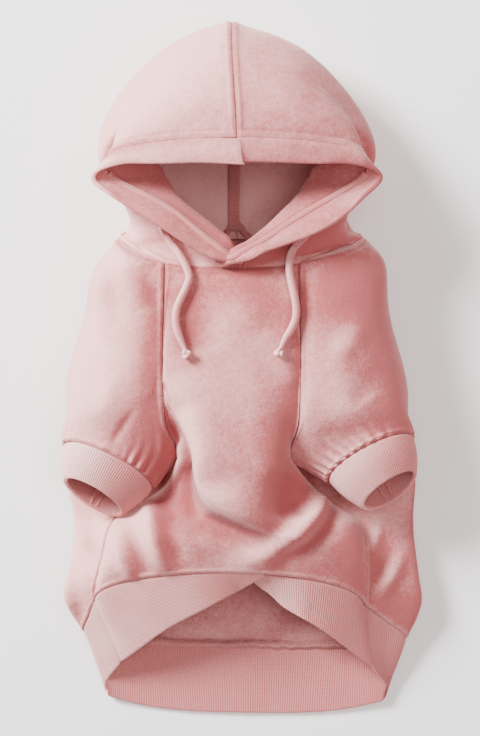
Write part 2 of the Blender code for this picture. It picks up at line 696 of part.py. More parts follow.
def make_cord(word):
    """A drawcord: a round tube along its route, read every few diameters."""
    route = np.array(CORD_ROUTES[word])
    run = np.append(0, np.cumsum(np.linalg.norm(np.diff(route, axis=0), axis=-1)))
    count = max(2, round(run[-1] / (CORD_POINT_STEP * CORD_DIAMETER)))
    points = through(run, route, np.linspace(0, run[-1], count + 1))
    curve = bpy.data.curves.new(f"cord_{word}", "CURVE")
    curve.dimensions = "3D"
    curve.bevel_depth = CORD_DIAMETER / 2
    curve.bevel_resolution = 2
    curve.use_fill_caps = True
    spline = curve.splines.new("POLY")
    spline.points.add(count)
    spline.points.foreach_set("co", np.hstack([points, np.ones((count + 1, 1))]).ravel())
    curve.materials.append(finish(f"cord_{word}", CORD, CORD_ROUGHNESS))
    piece = bpy.data.objects.new(f"cord_{word}", curve)
    bpy.context.scene.collection.objects.link(piece)
    make_knot(word, points[-1], points[-1] - points[-2])


def make_knot(word, end, way):
    """The knot on a drawcord's end: a ball drawn in along the cord, clear of its end."""
    way = way / np.linalg.norm(way)
    length = KNOT_DIAMETER * KNOT_LENGTH
    form = bmesh.new()
    bmesh.ops.create_uvsphere(form, u_segments=12, v_segments=8, radius=KNOT_DIAMETER / 2)
    bmesh.ops.scale(form, vec=(1, 1, KNOT_LENGTH), verts=form.verts)
    turn = Vector((0, 0, 1)).rotation_difference(Vector(way)).to_matrix()
    centre = end + way * (length / 2 + SEAM_GAP)
    centre[2] += (KNOT_DIAMETER - CORD_DIAMETER) / 2
    bmesh.ops.transform(form, matrix=Matrix.Translation(centre) @ turn.to_4x4(), verts=form.verts)
    mesh = bpy.data.meshes.new(f"cord_knot_{word}")
    form.to_mesh(mesh)
    form.free()
    mesh.shade_smooth()
    mesh.materials.append(finish(f"cord_knot_{word}", CORD, CORD_ROUGHNESS))
    bpy.context.scene.collection.objects.link(bpy.data.objects.new(f"cord_knot_{word}", mesh))


def make_panels():
    """All panels: name, grid, which way round it runs, thickness, numbering and colour."""
    panels = [
        (Panel("chest_panel", chest_grid(), 1, CLOTH), VELOUR),
        (Panel("back_panel", back_grid(), -1, CLOTH), VELOUR),
    ]
    for side, word in ((LEFT, "left"), (RIGHT, "right")):
        sleeve = sleeve_grid(side)
        cuff = cuff_grid(side)
        hood = hood_grid(side)
        seam = HOOD_STEPS - BAND_STEPS
        panels += [
            (Panel(f"sleeve_{word}", sleeve, side, CLOTH, sleeve_index()), VELOUR),
            (Panel(f"cuff_{word}", cuff, side, RIB, tube_index(*cuff.shape[:2])), RIBBING),
            (Panel(f"hood_{word}", hood[:seam + 1], side, CLOTH), VELOUR),
            (Panel(f"hood_band_{word}", hood[seam:], side, HOOD_BAND), VELOUR),
        ]
    panels.append((Panel("hem_band", hem_grid(), 1, RIB), RIBBING))
    return panels


def main():
    """Clear the scene and build every piece."""
    for thing in list(bpy.data.objects):
        bpy.data.objects.remove(thing, do_unlink=True)
    panels = make_panels()
    mitre([panel for panel, colour in panels])
    for panel, colour in panels:
        build(panel, colour)
    for word in CORD_ROUTES:
        make_cord(word)


main()
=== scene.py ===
# %% [markdown]
# A dog's hoodie in velour
#
# This lesson dresses a plain model of a dog's hoodie. The garment lies on its back, filled out
# as if a small dog wore it. Its body, sleeves and hood are velour, a knit with a short soft
# pile. The cuffs and the hem are rib knit, and two drawcords hang from the hood.
# The plain model is loaded first and never changes. Every piece that is made here stands
# where a plain one is.

# %% Load the plain model
import math

import bpy
import numpy as np
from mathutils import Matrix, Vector


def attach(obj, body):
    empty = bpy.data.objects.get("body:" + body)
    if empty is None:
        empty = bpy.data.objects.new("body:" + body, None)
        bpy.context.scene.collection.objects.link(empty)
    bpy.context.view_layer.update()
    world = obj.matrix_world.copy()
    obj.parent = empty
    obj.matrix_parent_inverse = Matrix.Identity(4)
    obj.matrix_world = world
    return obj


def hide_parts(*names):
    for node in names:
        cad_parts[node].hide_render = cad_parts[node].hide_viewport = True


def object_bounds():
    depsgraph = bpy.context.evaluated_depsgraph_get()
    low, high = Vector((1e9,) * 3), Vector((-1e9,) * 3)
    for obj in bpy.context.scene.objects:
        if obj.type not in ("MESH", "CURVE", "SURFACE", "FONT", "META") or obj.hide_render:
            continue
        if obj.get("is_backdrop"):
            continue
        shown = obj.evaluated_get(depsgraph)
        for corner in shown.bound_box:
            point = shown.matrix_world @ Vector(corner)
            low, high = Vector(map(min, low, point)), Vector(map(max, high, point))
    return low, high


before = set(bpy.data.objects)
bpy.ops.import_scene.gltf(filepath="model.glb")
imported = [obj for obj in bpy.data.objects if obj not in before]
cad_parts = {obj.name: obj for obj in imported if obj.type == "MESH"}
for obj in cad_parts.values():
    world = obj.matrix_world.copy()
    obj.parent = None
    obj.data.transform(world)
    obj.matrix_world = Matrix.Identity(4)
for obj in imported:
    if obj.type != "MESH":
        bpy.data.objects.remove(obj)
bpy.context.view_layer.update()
print("plain pieces:", ", ".join(sorted(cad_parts)))

# %% [markdown]
# The camera
#
# The garment is seen from straight above, from far away, so that it hardly looks deeper at its
# edges than in its middle. A long lens does that. The sensor's width is the picture's longer
# side here, which runs along the garment.

# %% Place the camera
CAMERA_PLACE = Vector((0.002, 0.0, 1.9))
LENS = 136

camera_data = bpy.data.cameras.new("camera")
camera_data.lens = LENS
camera_data.sensor_width = 36
camera_data.clip_start = 0.05
camera = bpy.data.objects.new("camera", camera_data)
camera.location = CAMERA_PLACE
bpy.context.scene.collection.objects.link(camera)
bpy.context.scene.camera = camera
print("camera", round(CAMERA_PLACE.z, 2), "m above the floor")

# %% [markdown]
# Curves through a few chosen values
#
# A seam on a real garment is a smooth line through a few marked points. Here a short table
# holds such points, and a cubic is laid through them. Its slope at a point is the mean of the
# slopes on both sides, the nearer neighbour counting more, so it never swings out.
# Blender's own curve objects could do this too, but whole arrays are quicker to work on.

# %% Read smooth curves from tables
def through(knots, values, at):
    """A cubic through values at knots, read at other places.

    Between two knots the value eases from one to the other by 3 s^2 - 2 s^3, plus each end's
    slope times s (1 - s)^2 or its mirror.
    """
    knots = np.asarray(knots, float)
    values = np.asarray(values, float)
    at = np.atleast_1d(np.asarray(at, float))
    shape = (-1,) + (1,) * (values.ndim - 1)
    span = np.diff(knots).reshape(shape)
    chord = np.diff(values, axis=0) / span
    slope = np.empty_like(values)
    slope[1:-1] = (chord[:-1] * span[1:] + chord[1:] * span[:-1]) / (span[:-1] + span[1:])
    slope[0] = 1.5 * chord[0] - 0.5 * slope[1]
    slope[-1] = 1.5 * chord[-1] - 0.5 * slope[-2]
    i = np.clip(np.searchsorted(knots, at, side="right") - 1, 0, len(knots) - 2)
    width = span[i]
    share = (at - knots[i]).reshape(shape) / width
    ease = share * share * (3 - 2 * share)
    return (values[i] + (values[i + 1] - values[i]) * ease
            + slope[i] * width * share * (1 - share) ** 2
            - slope[i + 1] * width * share ** 2 * (1 - share))


def table(columns, *rows):
    """A short table with named columns."""
    return dict(zip(columns.split(), np.array(rows, float).T))


def read(rows, names, at):
    """Named columns of a table, read at other places."""
    return through(rows["at"], np.stack([rows[name] for name in names.split()], -1), at)


def smooth(share):
    """Ease from 0 to 1 by 3 s^2 - 2 s^3."""
    share = np.clip(share, 0, 1)
    return share * share * (3 - 2 * share)


def unit(vectors):
    """Vectors shortened or stretched to length 1."""
    length = np.linalg.norm(vectors, axis=-1, keepdims=True)
    return vectors / np.maximum(length, 1e-12)


def crowd(count, start=True, end=True, ease=0.85):
    """Numbers from 0 to 1 whose steps shrink towards the ends asked for.

    Each is t less a sine wave times the ease, so a step at a crowded end is 1 - ease long.
    """
    t = np.linspace(0, 1, count + 1)
    if start and end:
        return t - ease * np.sin(2 * np.pi * t) / (2 * np.pi)
    return t + (ease if end else -ease) * np.sin(np.pi * t) / np.pi


print("a curve through 0, 1, 0 read at its middle:", through((0, 1, 2), (0.0, 1.0, 0.0), 1.0))

# %% [markdown]
# From a grid to a mesh
#
# Every piece below is a grid of points: a function of two parameters, one along the rows and
# one along the columns. One function turns any such grid into a mesh. Cloth has two faces, so
# the rows of a cloth piece run down its outside, round the lower edge in a half circle, back up
# its inside and round the upper edge. A Solidify modifier would do nearly the same, but its
# edges are square, and here a folded edge has to be round.

# %% Build meshes from grids
ROUND_STEPS = 5
# The way towards the key light seen from above: faces turned this way get painted light.
KEY_LIGHT_WAY = np.array((-0.87, 0.49, 0.0))
SHARP = math.radians(60)


def across_and_down(grid):
    """Distances along the grid's lines from its upper, lower, first and last border."""
    down = np.cumsum(np.linalg.norm(np.diff(grid, axis=0, prepend=grid[:1]), axis=-1), axis=0)
    along = np.diff(grid, axis=1, prepend=grid[:, :1])
    along = np.cumsum(np.linalg.norm(along, axis=-1), axis=1)
    return down, down[-1] - down, along, along[:, -1:] - along


def facing(grid, handed, closed=False):
    """Unit normals: the cross product of the steps down and across the grid."""
    down = np.gradient(grid, axis=0)
    across = np.gradient(grid, axis=1)
    if closed:
        across[:, 0] = across[:, -1] = grid[:, 1] - grid[:, -2]
    return unit(np.cross(down, across) * handed)


def make_mesh(name, points, faces, uv, finishes, inside=None, marks=None):
    """A mesh piece from arrays, with a UV map in metres and one value a point for each mark."""
    mesh = bpy.data.meshes.new(name)
    mesh.from_pydata(points.tolist(), [], faces if isinstance(faces, list) else faces.tolist())
    for finish in finishes:
        mesh.materials.append(finish)
    if uv is not None:
        layer = mesh.uv_layers.new(name="cloth")
        layer.data.foreach_set("uv", np.ascontiguousarray(uv, dtype=np.float32).ravel())
    if inside is not None:
        mesh.polygons.foreach_set("material_index", inside.astype(np.int32))
    for mark, values in (marks or {}).items():
        attribute = mesh.attributes.new(mark, "FLOAT", "POINT")
        attribute.data.foreach_set("value", np.ascontiguousarray(values, dtype=np.float32))
    mesh.shade_smooth()
    mesh.set_sharp_from_angle(angle=SHARP)
    piece = bpy.data.objects.new(name, mesh)
    bpy.context.scene.collection.objects.link(piece)
    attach(piece, "root")
    return piece


def cloth(name, outer, normals, thickness, finishes, handed, closed=False, lips=(0.2, 1.0), marks=None):
    """A wall of cloth from its outer face: see the text above.

    At each edge a half circle joins the two faces. It reaches beyond the edge by its lip, a
    share of half the thickness, which is small in a seam and 1 on a folded edge.
    """
    rows, columns = outer.shape[:2]
    inner = outer - normals * thickness
    inner[..., 2] = np.maximum(inner[..., 2], thickness / 2)
    middle = (outer + inner) / 2
    radius = np.linalg.norm(outer - inner, axis=-1, keepdims=True) / 2
    bend = np.linspace(0, np.pi, ROUND_STEPS + 2)[1:-1, None, None]

    def turn(row, beyond, lip):
        way = unit(outer[row] - outer[beyond])
        up = unit(outer[row] - inner[row])
        way = unit(way - up * (way * up).sum(-1, keepdims=True))
        return middle[row] + radius[row] * (np.cos(bend) * up + np.sin(bend) * way * lip)

    lower = turn(-1, -2, lips[1])
    upper = turn(0, 1, lips[0])[::-1]
    ring = np.concatenate([outer, lower, inner[::-1], upper])
    ring[..., 2] = np.maximum(ring[..., 2], 0)
    count = len(ring)
    index = np.arange(count * columns).reshape(count, columns)
    used = index.copy()
    if closed:
        used[:, -1] = used[:, 0]
    rolled = np.roll(np.arange(count), -1)
    corners = [index[:, :-1], index[rolled, :-1], index[rolled, 1:], index[:, 1:]]
    quads = np.stack(corners, -1).reshape(-1, 4)
    inside = np.repeat((np.arange(count) >= rows + ROUND_STEPS // 2)
                       & (np.arange(count) < count - ROUND_STEPS // 2 - 1), columns - 1)
    if handed < 0:
        quads = quads[:, ::-1]
    down, _, along, _ = across_and_down(outer)
    place = np.stack([along, down], -1)
    place = np.concatenate([place, np.repeat(place[-1:], ROUND_STEPS, 0), place[::-1],
                            np.repeat(place[:1], ROUND_STEPS, 0)]).reshape(-1, 2)
    uv = place[quads.ravel()]
    faces = used.ravel()[quads]
    # The inside gets the same marks, with the painted light from the faces' turn reversed.
    marks = {mark: np.concatenate([grid, np.repeat(grid[-1:], ROUND_STEPS, 0),
                                   grid[::-1] * (-1 if mark == "nap" else 1),
                                   np.repeat(grid[:1], ROUND_STEPS, 0)]).ravel()
             for mark, grid in (marks or {}).items()}
    faces = faces.tolist()
    if not closed:
        caps, cap_uv = end_caps(index, rows, handed)
        faces += caps
        uv = np.concatenate([uv, place[cap_uv]])
        inside = np.append(inside, np.zeros(len(caps), bool))
    points = ring.reshape(-1, 3)
    if closed:
        keep, fresh = np.unique(used, return_inverse=True)
        fresh = fresh.reshape(used.shape)
        renumber = np.zeros(used.size, int)
        renumber[used.ravel()] = fresh.ravel()
        faces = renumber[np.array(faces)].tolist()
        points = points[keep]
        marks = {mark: values[keep] for mark, values in marks.items()}
    return make_mesh(name, points, faces, uv, finishes, inside if len(finishes) > 1 else None, marks)


def end_caps(index, rows, handed):
    """Faces that close the first and last column: quads between the two faces, and one
    many-sided face in each rounded edge."""
    caps = []
    count = len(index)
    steps = np.arange(rows - 1)
    back = count - ROUND_STEPS - 1 - steps
    for column, flip in ((0, handed < 0), (-1, handed > 0)):
        line = index[:, column]
        quads = np.stack([line[steps], line[back], line[back - 1], line[steps + 1]], -1)
        ends = [line[rows - 1:rows + ROUND_STEPS + 1],
                np.append(line[count - ROUND_STEPS - 1:], line[0])]
        for face in [*quads.tolist(), *(end.tolist() for end in ends)]:
            caps.append(face[::-1] if flip else face)
    return caps, np.concatenate([np.array(cap) for cap in caps])


def tube(name, path, radius, sides, finishes, marks=None, squash=1.0):
    """A round tube along a path: a circle carried along it, turned as little as it can be.

    radius is one number, one a point, or one for each point and side. Its ends are closed.
    """
    path = np.asarray(path, float)
    way = unit(np.gradient(path, axis=0))
    up = np.array([0.0, 0.0, 1.0])
    side = unit(np.cross(way, up + 0 * way))
    lift = np.cross(side, way)
    angle = np.linspace(0, 2 * np.pi, sides, endpoint=False)
    radius = np.broadcast_to(np.asarray(radius, float).reshape((-1, 1)) if np.ndim(radius) == 1
                             else np.asarray(radius, float), (len(path), sides))
    circle = (np.cos(angle)[None, :, None] * side[:, None]
              + squash * np.sin(angle)[None, :, None] * lift[:, None])
    points = path[:, None] + circle * radius[..., None]
    index = np.arange(points.size // 3).reshape(len(path), sides)
    beside = np.roll(index, -1, 1)
    quads = np.stack([index[:-1], beside[:-1], beside[1:], index[1:]], -1).reshape(-1, 4)
    faces = quads.tolist() + [index[0][::-1].tolist(), index[-1].tolist()]
    run = np.cumsum(np.linalg.norm(np.diff(path, axis=0, prepend=path[:1]), axis=-1))
    place = np.stack(np.broadcast_arrays(angle[None] * np.mean(radius), run[:, None]), -1)
    uv = place.reshape(-1, 2)[np.concatenate([np.array(face) for face in faces])]
    # Painted light: the side of the tube that turns to the key light is paler.
    marks = dict(marks or {}, nap=0.5 * circle @ KEY_LIGHT_WAY)
    marks = {mark: grid.ravel() for mark, grid in marks.items()}
    return make_mesh(name, points.reshape(-1, 3), faces, uv, finishes, None, marks)


# %% [markdown]
# Shader maths that reads like a formula
#
# A material's pattern is a chain of small nodes. Written out one by one they hide the formula.
# The class below wraps a node's output, and Python's own operators add the Math nodes, so a
# mask can be written as 1 - height * 2. The second class holds a material, and its method adds
# any other node from its type, its settings and its sockets.

# %% Wrap sockets and materials
class Number:
    """A value that varies over a surface."""

    def __init__(self, tree, socket):
        self.tree = tree
        self.socket = socket

    def maths(self, operation, *values):
        node = self.tree.nodes.new("ShaderNodeMath")
        node.operation = operation
        for place, value in zip(node.inputs, values):
            if isinstance(value, Number):
                self.tree.links.new(value.socket, place)
            else:
                place.default_value = value
        return Number(self.tree, node.outputs[0])

    def __add__(self, other):
        return self.maths("ADD", self, other)

    def __radd__(self, other):
        return self.maths("ADD", other, self)

    def __sub__(self, other):
        return self.maths("SUBTRACT", self, other)

    def __rsub__(self, other):
        return self.maths("SUBTRACT", other, self)

    def __mul__(self, other):
        return self.maths("MULTIPLY", self, other)

    def __rmul__(self, other):
        return self.maths("MULTIPLY", other, self)

    def __pow__(self, other):
        return self.maths("POWER", self, other)

    def sine(self):
        return self.maths("SINE", self)

    def clipped(self):
        return self.maths("MINIMUM", self.maths("MAXIMUM", self, 0.0), 1.0)


class Finish:
    """One material, with its shader's constant sockets set by name."""

    def __init__(self, name, **constants):
        self.material = bpy.data.materials.new(name)
        self.material.use_nodes = True
        self.tree = self.material.node_tree
        self.shader = self.tree.nodes["Principled BSDF"]
        for socket, value in constants.items():
            self.shader.inputs[socket.replace("_", " ")].default_value = value

    def node(self, kind, settings=None, output=0, **sockets):
        """Add a node: its settings first, then a value or a link for each named socket."""
        node = self.tree.nodes.new(kind)
        for setting, value in (settings or {}).items():
            setattr(node, setting, value)
        for socket, value in sockets.items():
            name = socket.replace("_", " ")
            place = next(s for s in node.inputs if s.name == name and s.enabled)
            if isinstance(value, Number):
                self.tree.links.new(value.socket, place)
            else:
                place.default_value = value
        result = [s for s in node.outputs if s.enabled][output]
        return Number(self.tree, result)

    def noise(self, where, size, detail=2.0):
        """Soft random blotches about size metres across."""
        return self.node("ShaderNodeTexNoise", Vector=where, Scale=1 / size, Detail=detail)

    def mix(self, share, first, second):
        """Two colours mixed by a share."""
        return self.node("ShaderNodeMix", {"data_type": "RGBA"}, Factor=share, A=first, B=second)

    def feed(self, socket, value):
        """Link a value to one of the shader's own sockets."""
        self.tree.links.new(value.socket, self.shader.inputs[socket])

    def bump(self, height, depth):
        """Turn a height into a bump and link it to the shader."""
        normal = self.node("ShaderNodeBump", Height=height, Distance=depth, Strength=1.0)
        self.feed("Normal", normal)


# %% [markdown]
# Velour
#
# Velour has a short, dense pile that stands up from a knitted ground. Light that grazes it is
# caught by the fibres' tips, so its edges look pale. The Principled shader's sheen gives the
# pale edges. Three sizes of noise give random blotches, the clumps of pile and the single
# fibres, and the finest ones also raise a bump. The rest of the colour's changes are painted
# light and painted shade. A mark worked out from how far each face turns towards the key light
# at the upper left paints those faces paler and the ones that turn away deeper. The mark for
# grooves is worked out with the shape: it is 1 deep in a seam, where little light gets in, and
# there it paints shade. A mark from the folds' heights paints their ridges a little paler and
# their hollows deeper, and strokes drawn like folds add more painted light and shade.

# %% Mix the velour
PALE = (0.840, 0.430, 0.414, 1.0)
DEEP = (0.400, 0.098, 0.100, 1.0)
# The colour that painted shade in grooves, fold hollows and shade strokes is mixed towards.
PAINTED_SHADE = (0.240, 0.044, 0.048, 1.0)
WRONG_PALE = (0.780, 0.380, 0.370, 1.0)
WRONG_DEEP = (0.400, 0.105, 0.106, 1.0)
SHEEN_TINT = (1.0, 0.88, 0.86, 1.0)


def velour(name, pile, pale, deep, shift):
    finish = Finish(name, Roughness=0.9, Sheen_Weight=0.35 * pile, Sheen_Roughness=0.4,
                    Sheen_Tint=SHEEN_TINT, Specular_IOR_Level=0.15)
    where = finish.node("ShaderNodeTexCoord", output=3)
    blotch = finish.noise(where, 0.022, 3.0)
    clump = finish.noise(where, 0.0035, 3.0)
    fibre = finish.noise(where, 0.0008, 2.0)
    groove = finish.node("ShaderNodeAttribute", {"attribute_name": "groove"}, output=2)
    swell = finish.node("ShaderNodeAttribute", {"attribute_name": "swell"}, output=2)
    nap = finish.node("ShaderNodeAttribute", {"attribute_name": "nap"}, output=2)
    brushed = finish.node("ShaderNodeAttribute", {"attribute_name": "brushed"}, output=2)
    # Painted light and painted shade: faces turned to the key light, fold ridges and light strokes are paler, and
    # grooves, fold hollows and shade strokes are mixed towards the painted-shade colour. The three noises are the
    # pile's own random tone.
    tone = blotch * 0.6 + clump * 0.5 + fibre * 0.9 + swell * 0.15 + nap * 1.2 + brushed + shift
    colour = finish.mix(tone.clipped(), deep, pale)
    shade = groove * 0.5 + (0 - swell).clipped() * 0.40 + (0 - brushed).clipped() * 0.30
    colour = finish.mix(shade.clipped(), colour, PAINTED_SHADE)
    finish.feed("Base Color", colour)
    finish.feed("Roughness", 0.95 - fibre * 0.15)
    finish.bump(clump * 0.5 + fibre * 0.5, 0.0007 * pile)
    return finish.material


VELOUR = velour("velour", 1.0, PALE, DEEP, -0.62)
VELOUR_BACK = velour("velour_wrong_side", 0.5, WRONG_PALE, WRONG_DEEP, -0.65)
# The casing's inside is the wrong side painted deeper still: painted shade.
VELOUR_FACING_SHADED = velour("velour_facing_shaded", 0.5, WRONG_PALE, WRONG_DEEP, -0.85)
print("velour nodes:", len(VELOUR.node_tree.nodes))

# %% [markdown]
# Rib knit and cord
#
# Rib knit is columns of knitted loops with furrows between them. The ribs themselves are real
# shape further on. Here the material adds the loops: a wave along each rib. It also paints
# shade in the furrows and the seams, and paints light on faces turned towards the key light.
# The drawcord is a narrow knitted tube with loops that slant round it.

# %% Mix the rib knit and the cord
RIB_PALE = (0.960, 0.580, 0.555, 1.0)
RIB_DEEP = (0.540, 0.180, 0.178, 1.0)
THREAD_PALE = (0.860, 0.360, 0.345, 1.0)
THREAD_DEEP = (0.520, 0.130, 0.130, 1.0)
LOOP_PITCH = 0.0011


def knit(name, slant, pitch, pale, deep, shift=0.0):
    finish = Finish(name, Roughness=0.9, Sheen_Weight=0.2, Sheen_Roughness=0.5,
                    Sheen_Tint=SHEEN_TINT, Specular_IOR_Level=0.15)
    where = finish.node("ShaderNodeUVMap", {"uv_map": "cloth"})
    split = finish.node("ShaderNodeSeparateXYZ", Vector=where)
    along = Number(finish.tree, split.socket.node.outputs[1])
    wave = ((along + split * slant) * (2 * math.pi / pitch)).sine() * 0.5 + 0.5
    place = finish.node("ShaderNodeTexCoord", output=3)
    fuzz = finish.noise(place, 0.0008, 2.0)
    blotch = finish.noise(place, 0.030, 2.0)
    groove = finish.node("ShaderNodeAttribute", {"attribute_name": "groove"}, output=2)
    nap = finish.node("ShaderNodeAttribute", {"attribute_name": "nap"}, output=2)
    # Painted shade in the grooves and painted light on faces turned to the key light, over the loops' wave and
    # the random fuzz and blotches.
    tone = (wave * 0.15 + fuzz * 0.5 + blotch * 0.5 - groove * 0.5 + nap * 1.6 + (shift - 0.02)).clipped()
    finish.feed("Base Color", finish.mix(tone, deep, pale))
    finish.feed("Roughness", 0.95 - fuzz * 0.1)
    finish.bump(wave * 0.5 + fuzz * 0.5, 0.0004)
    return finish.material


RIB_KNIT = knit("rib_knit", 0.0, LOOP_PITCH, RIB_PALE, RIB_DEEP)
# The bands' inside is the same rib knit painted deeper: painted shade.
RIB_INSIDE_SHADED = knit("rib_inside_shaded", 0.0, LOOP_PITCH, RIB_PALE, RIB_DEEP, -0.60)
CORD_KNIT = knit("cord_knit", 0.5, 0.0014, RIB_PALE, RIB_DEEP, -0.22)
THREAD = knit("thread", 1.0, 0.0006, THREAD_PALE, THREAD_DEEP)
print("knits:", RIB_KNIT.name, CORD_KNIT.name, THREAD.name)

# %% [markdown]
# The drawcords
#
# Each cord comes out from under the hood's rim and lies on the chest in a loose curve. It is a
# fixed length of something limp, so its route comes first: listed points, with one
# smooth curve through them. A curve object with a bevel would give a smooth round tube. Here
# the tube is a grid instead, so that its knitted ridges can be real.

# %% Lay the drawcords
CORD_DIAMETER = 0.0055
CORD_RIDGE = 0.00018
CORD_RIDGE_PITCH = 0.0015
CORD_ROUTES = {
    "left": (
        (-0.0495, 0.0935, 0.0690), (-0.0470, 0.0885, 0.0645), (-0.0430, 0.0820, 0.0640),
        (-0.0375, 0.0740, 0.0675), (-0.0335, 0.0670, 0.0700), (-0.0313, 0.0600, 0.0715),
        (-0.0333, 0.0530, 0.0731), (-0.0368, 0.0455, 0.0741), (-0.0395, 0.0385, 0.0751),
        (-0.0402, 0.0320, 0.0760), (-0.0388, 0.0240, 0.0770), (-0.0360, 0.0165, 0.0778),
        (-0.0340, 0.0120, 0.0784),
    ),
    "right": (
        (0.0470, 0.0895, 0.0680), (0.0440, 0.0860, 0.0650), (0.0395, 0.0815, 0.0638),
        (0.0362, 0.0765, 0.0656), (0.0346, 0.0700, 0.0684), (0.0346, 0.0640, 0.0702),
        (0.0362, 0.0550, 0.0718), (0.0382, 0.0455, 0.0732), (0.0391, 0.0385, 0.0740),
        (0.0384, 0.0320, 0.0750), (0.0355, 0.0250, 0.0764), (0.0313, 0.0182, 0.0776),
        (0.0290, 0.0130, 0.0782),
    ),
}


def spaced(route, step):
    """Points along a smooth curve through a route, about one step apart, and its length."""
    route = np.asarray(route, float)
    run = np.append(0, np.cumsum(np.linalg.norm(np.diff(route, axis=0), axis=-1)))
    count = max(2, round(run[-1] / step))
    points = through(run, route, np.linspace(0, run[-1], count + 1))
    return points, np.linalg.norm(np.diff(points, axis=0), axis=-1).sum()


def knot(word, end, way):
    """A small overhand knot: a tube along a threefold loop.

    The loop is (sin t + 2 sin 2t, cos t - 2 cos 2t, -sin 3t), scaled and turned to the cord.
    """
    t = np.linspace(0, 2 * np.pi, 61)[:-1]
    loop = np.stack([np.sin(t) + 2 * np.sin(2 * t), np.cos(t) - 2 * np.cos(2 * t),
                     -1.6 * np.sin(3 * t)], -1) * 0.00075
    side = unit(np.cross(way, (0.0, 0.0, 1.0)))
    lift = np.cross(side, way)
    turned = loop[:, :1] * side + loop[:, 1:2] * way + loop[:, 2:] * lift
    centre = end + way * 0.0033 + np.array([0, 0, 0.0006])
    points = np.vstack([turned, turned[:1]]) + centre
    wraps = tube(f"drawcord_knot_{word}", points, 0.00155, 12, [CORD_KNIT])
    return wraps


for word, route in CORD_ROUTES.items():
    points, length = spaced(route, 0.0005)
    run = np.linspace(0, length, len(points))
    angle = np.linspace(0, 2 * np.pi, 20, endpoint=False)
    wave = np.sin(2 * np.pi * run[:, None] / CORD_RIDGE_PITCH + 2 * angle[None])
    narrow = 1 - 0.35 * smooth((run - length + 0.012) / 0.012)[:, None]
    radius = (CORD_DIAMETER / 2 - CORD_RIDGE + CORD_RIDGE * wave) * narrow
    # The furrows between the cord's ridges get painted shade.
    piece = tube(f"drawcord_{word}", points, radius, 20, [CORD_KNIT],
                 {"groove": 0.5 - 0.5 * wave})
    way = unit(points[-1] - points[-2])
    wraps = knot(word, points[-1], way)
    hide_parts(f"cord_{word}")
    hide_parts(f"cord_knot_{word}")
    print("drawcord", word, round(float(length) * 1000), "mm")

# %% [markdown]
# The floor and the light
#
# A plain pale floor, one large soft light from the upper left, a weak one from the right and a
# pale sky. The large light makes soft folds readable, and its side gives them a dark flank.

# %% Set the floor and the lights
FLOOR_DROP = 0.0003
WHITE = (0.96, 0.96, 0.96, 1.0)


def area_light(name, place, size, power, colour):
    """A square soft light that looks at the garment's middle."""
    data = bpy.data.lights.new(name, "AREA")
    data.size = size
    data.energy = power
    data.color = colour
    light = bpy.data.objects.new(name, data)
    light.location = place
    light.rotation_euler = (Vector((0, 0, 0.03)) - Vector(place)).to_track_quat("-Z", "Y").to_euler()
    bpy.context.scene.collection.objects.link(light)


floor_finish = Finish("floor", Roughness=0.8)
floor_finish.shader.inputs["Base Color"].default_value = WHITE
half = 3.0
floor_points = np.array([(-half, -half, 0), (half, -half, 0), (half, half, 0), (-half, half, 0)])
floor_points[:, 2] = -FLOOR_DROP
floor_mesh = bpy.data.meshes.new("floor")
floor_mesh.from_pydata(floor_points.tolist(), [], [(0, 1, 2, 3)])
floor_mesh.materials.append(floor_finish.material)
floor = bpy.data.objects.new("floor", floor_mesh)
bpy.context.scene.collection.objects.link(floor)
floor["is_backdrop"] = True
area_light("key", (-1.35, 1.0, 1.15), 0.7, 142, (1.0, 1.0, 1.0))
area_light("top", (0.4, 0.2, 2.2), 1.2, 24, (1.0, 0.95, 0.93))
area_light("fill", (1.6, -0.6, 1.2), 1.2, 14, (1.0, 0.95, 0.93))
world = bpy.data.worlds.new("sky")
bpy.context.scene.world = world
world.use_nodes = True
world.node_tree.nodes["Background"].inputs["Color"].default_value = (1.0, 0.86, 0.84, 1.0)
world.node_tree.nodes["Background"].inputs["Strength"].default_value = 0.52

# %% [markdown]
# The seams
#
# A garment is a few flat pieces joined along seams, and the seams decide its form. The raglan
# seams run from the neck to the underarms, and the side seams from there to the hem. Each seam
# is one curve that both of its pieces read, so they meet all along it. Lengths along the body
# are shares of its length, heights are shares of the chest's height, and lengths outwards are
# shares of a half width.

# %% Draw the seams
BODY_LENGTH = 0.278
BODY_HALF_WIDTH = 0.118
CHEST_HALF_WIDTH = 0.0445
CHEST_HEIGHT = 0.076
NECK_Y = 0.088
CHEST_SHIFT = -0.0035
SIDE_SEAM_SHIFT = -0.0088
LEFT = -1
RIGHT = 1
FRONT_SEAM = table(
    "at out down up",
    (0, 0.99, 0.068, 0.85),
    (0.25, 1.0, 0.237, 0.93),
    (0.5, 1.0, 0.381, 0.92),
    (0.7, 0.966, 0.46, 0.84),
    (0.85, 0.86, 0.504, 0.71),
    (1, 0.843, 0.536, 0.58),
)
BACK_SEAM = table(
    "at out down up",
    (0, 0.441, -0.007, 0.039),
    (0.25, 0.661, 0.165, 0.039),
    (0.5, 0.814, 0.353, 0.092),
    (0.65, 0.847, 0.439, 0.145),
    (0.75, 0.771, 0.493, 0.184),
    (0.85, 0.627, 0.522, 0.237),
    (0.93, 0.466, 0.532, 0.355),
)
SIDE_SEAM = table(
    "at out down up",
    (0.15, 0.41, 0.60, 0.36),
    (0.3, 0.53, 0.64, 0.30),
    (0.5, 0.695, 0.687, 0.36),
    (0.75, 0.746, 0.784, 0.46),
    (1, 0.746, 0.885, 0.40),
)


def placed(out, down, up, half_width):
    """Shares made into points: outwards, down the body from the neck, and up."""
    x, y, z = np.broadcast_arrays(out * half_width, NECK_Y - down * BODY_LENGTH, up * CHEST_HEIGHT)
    return np.stack([x, y, z], -1)


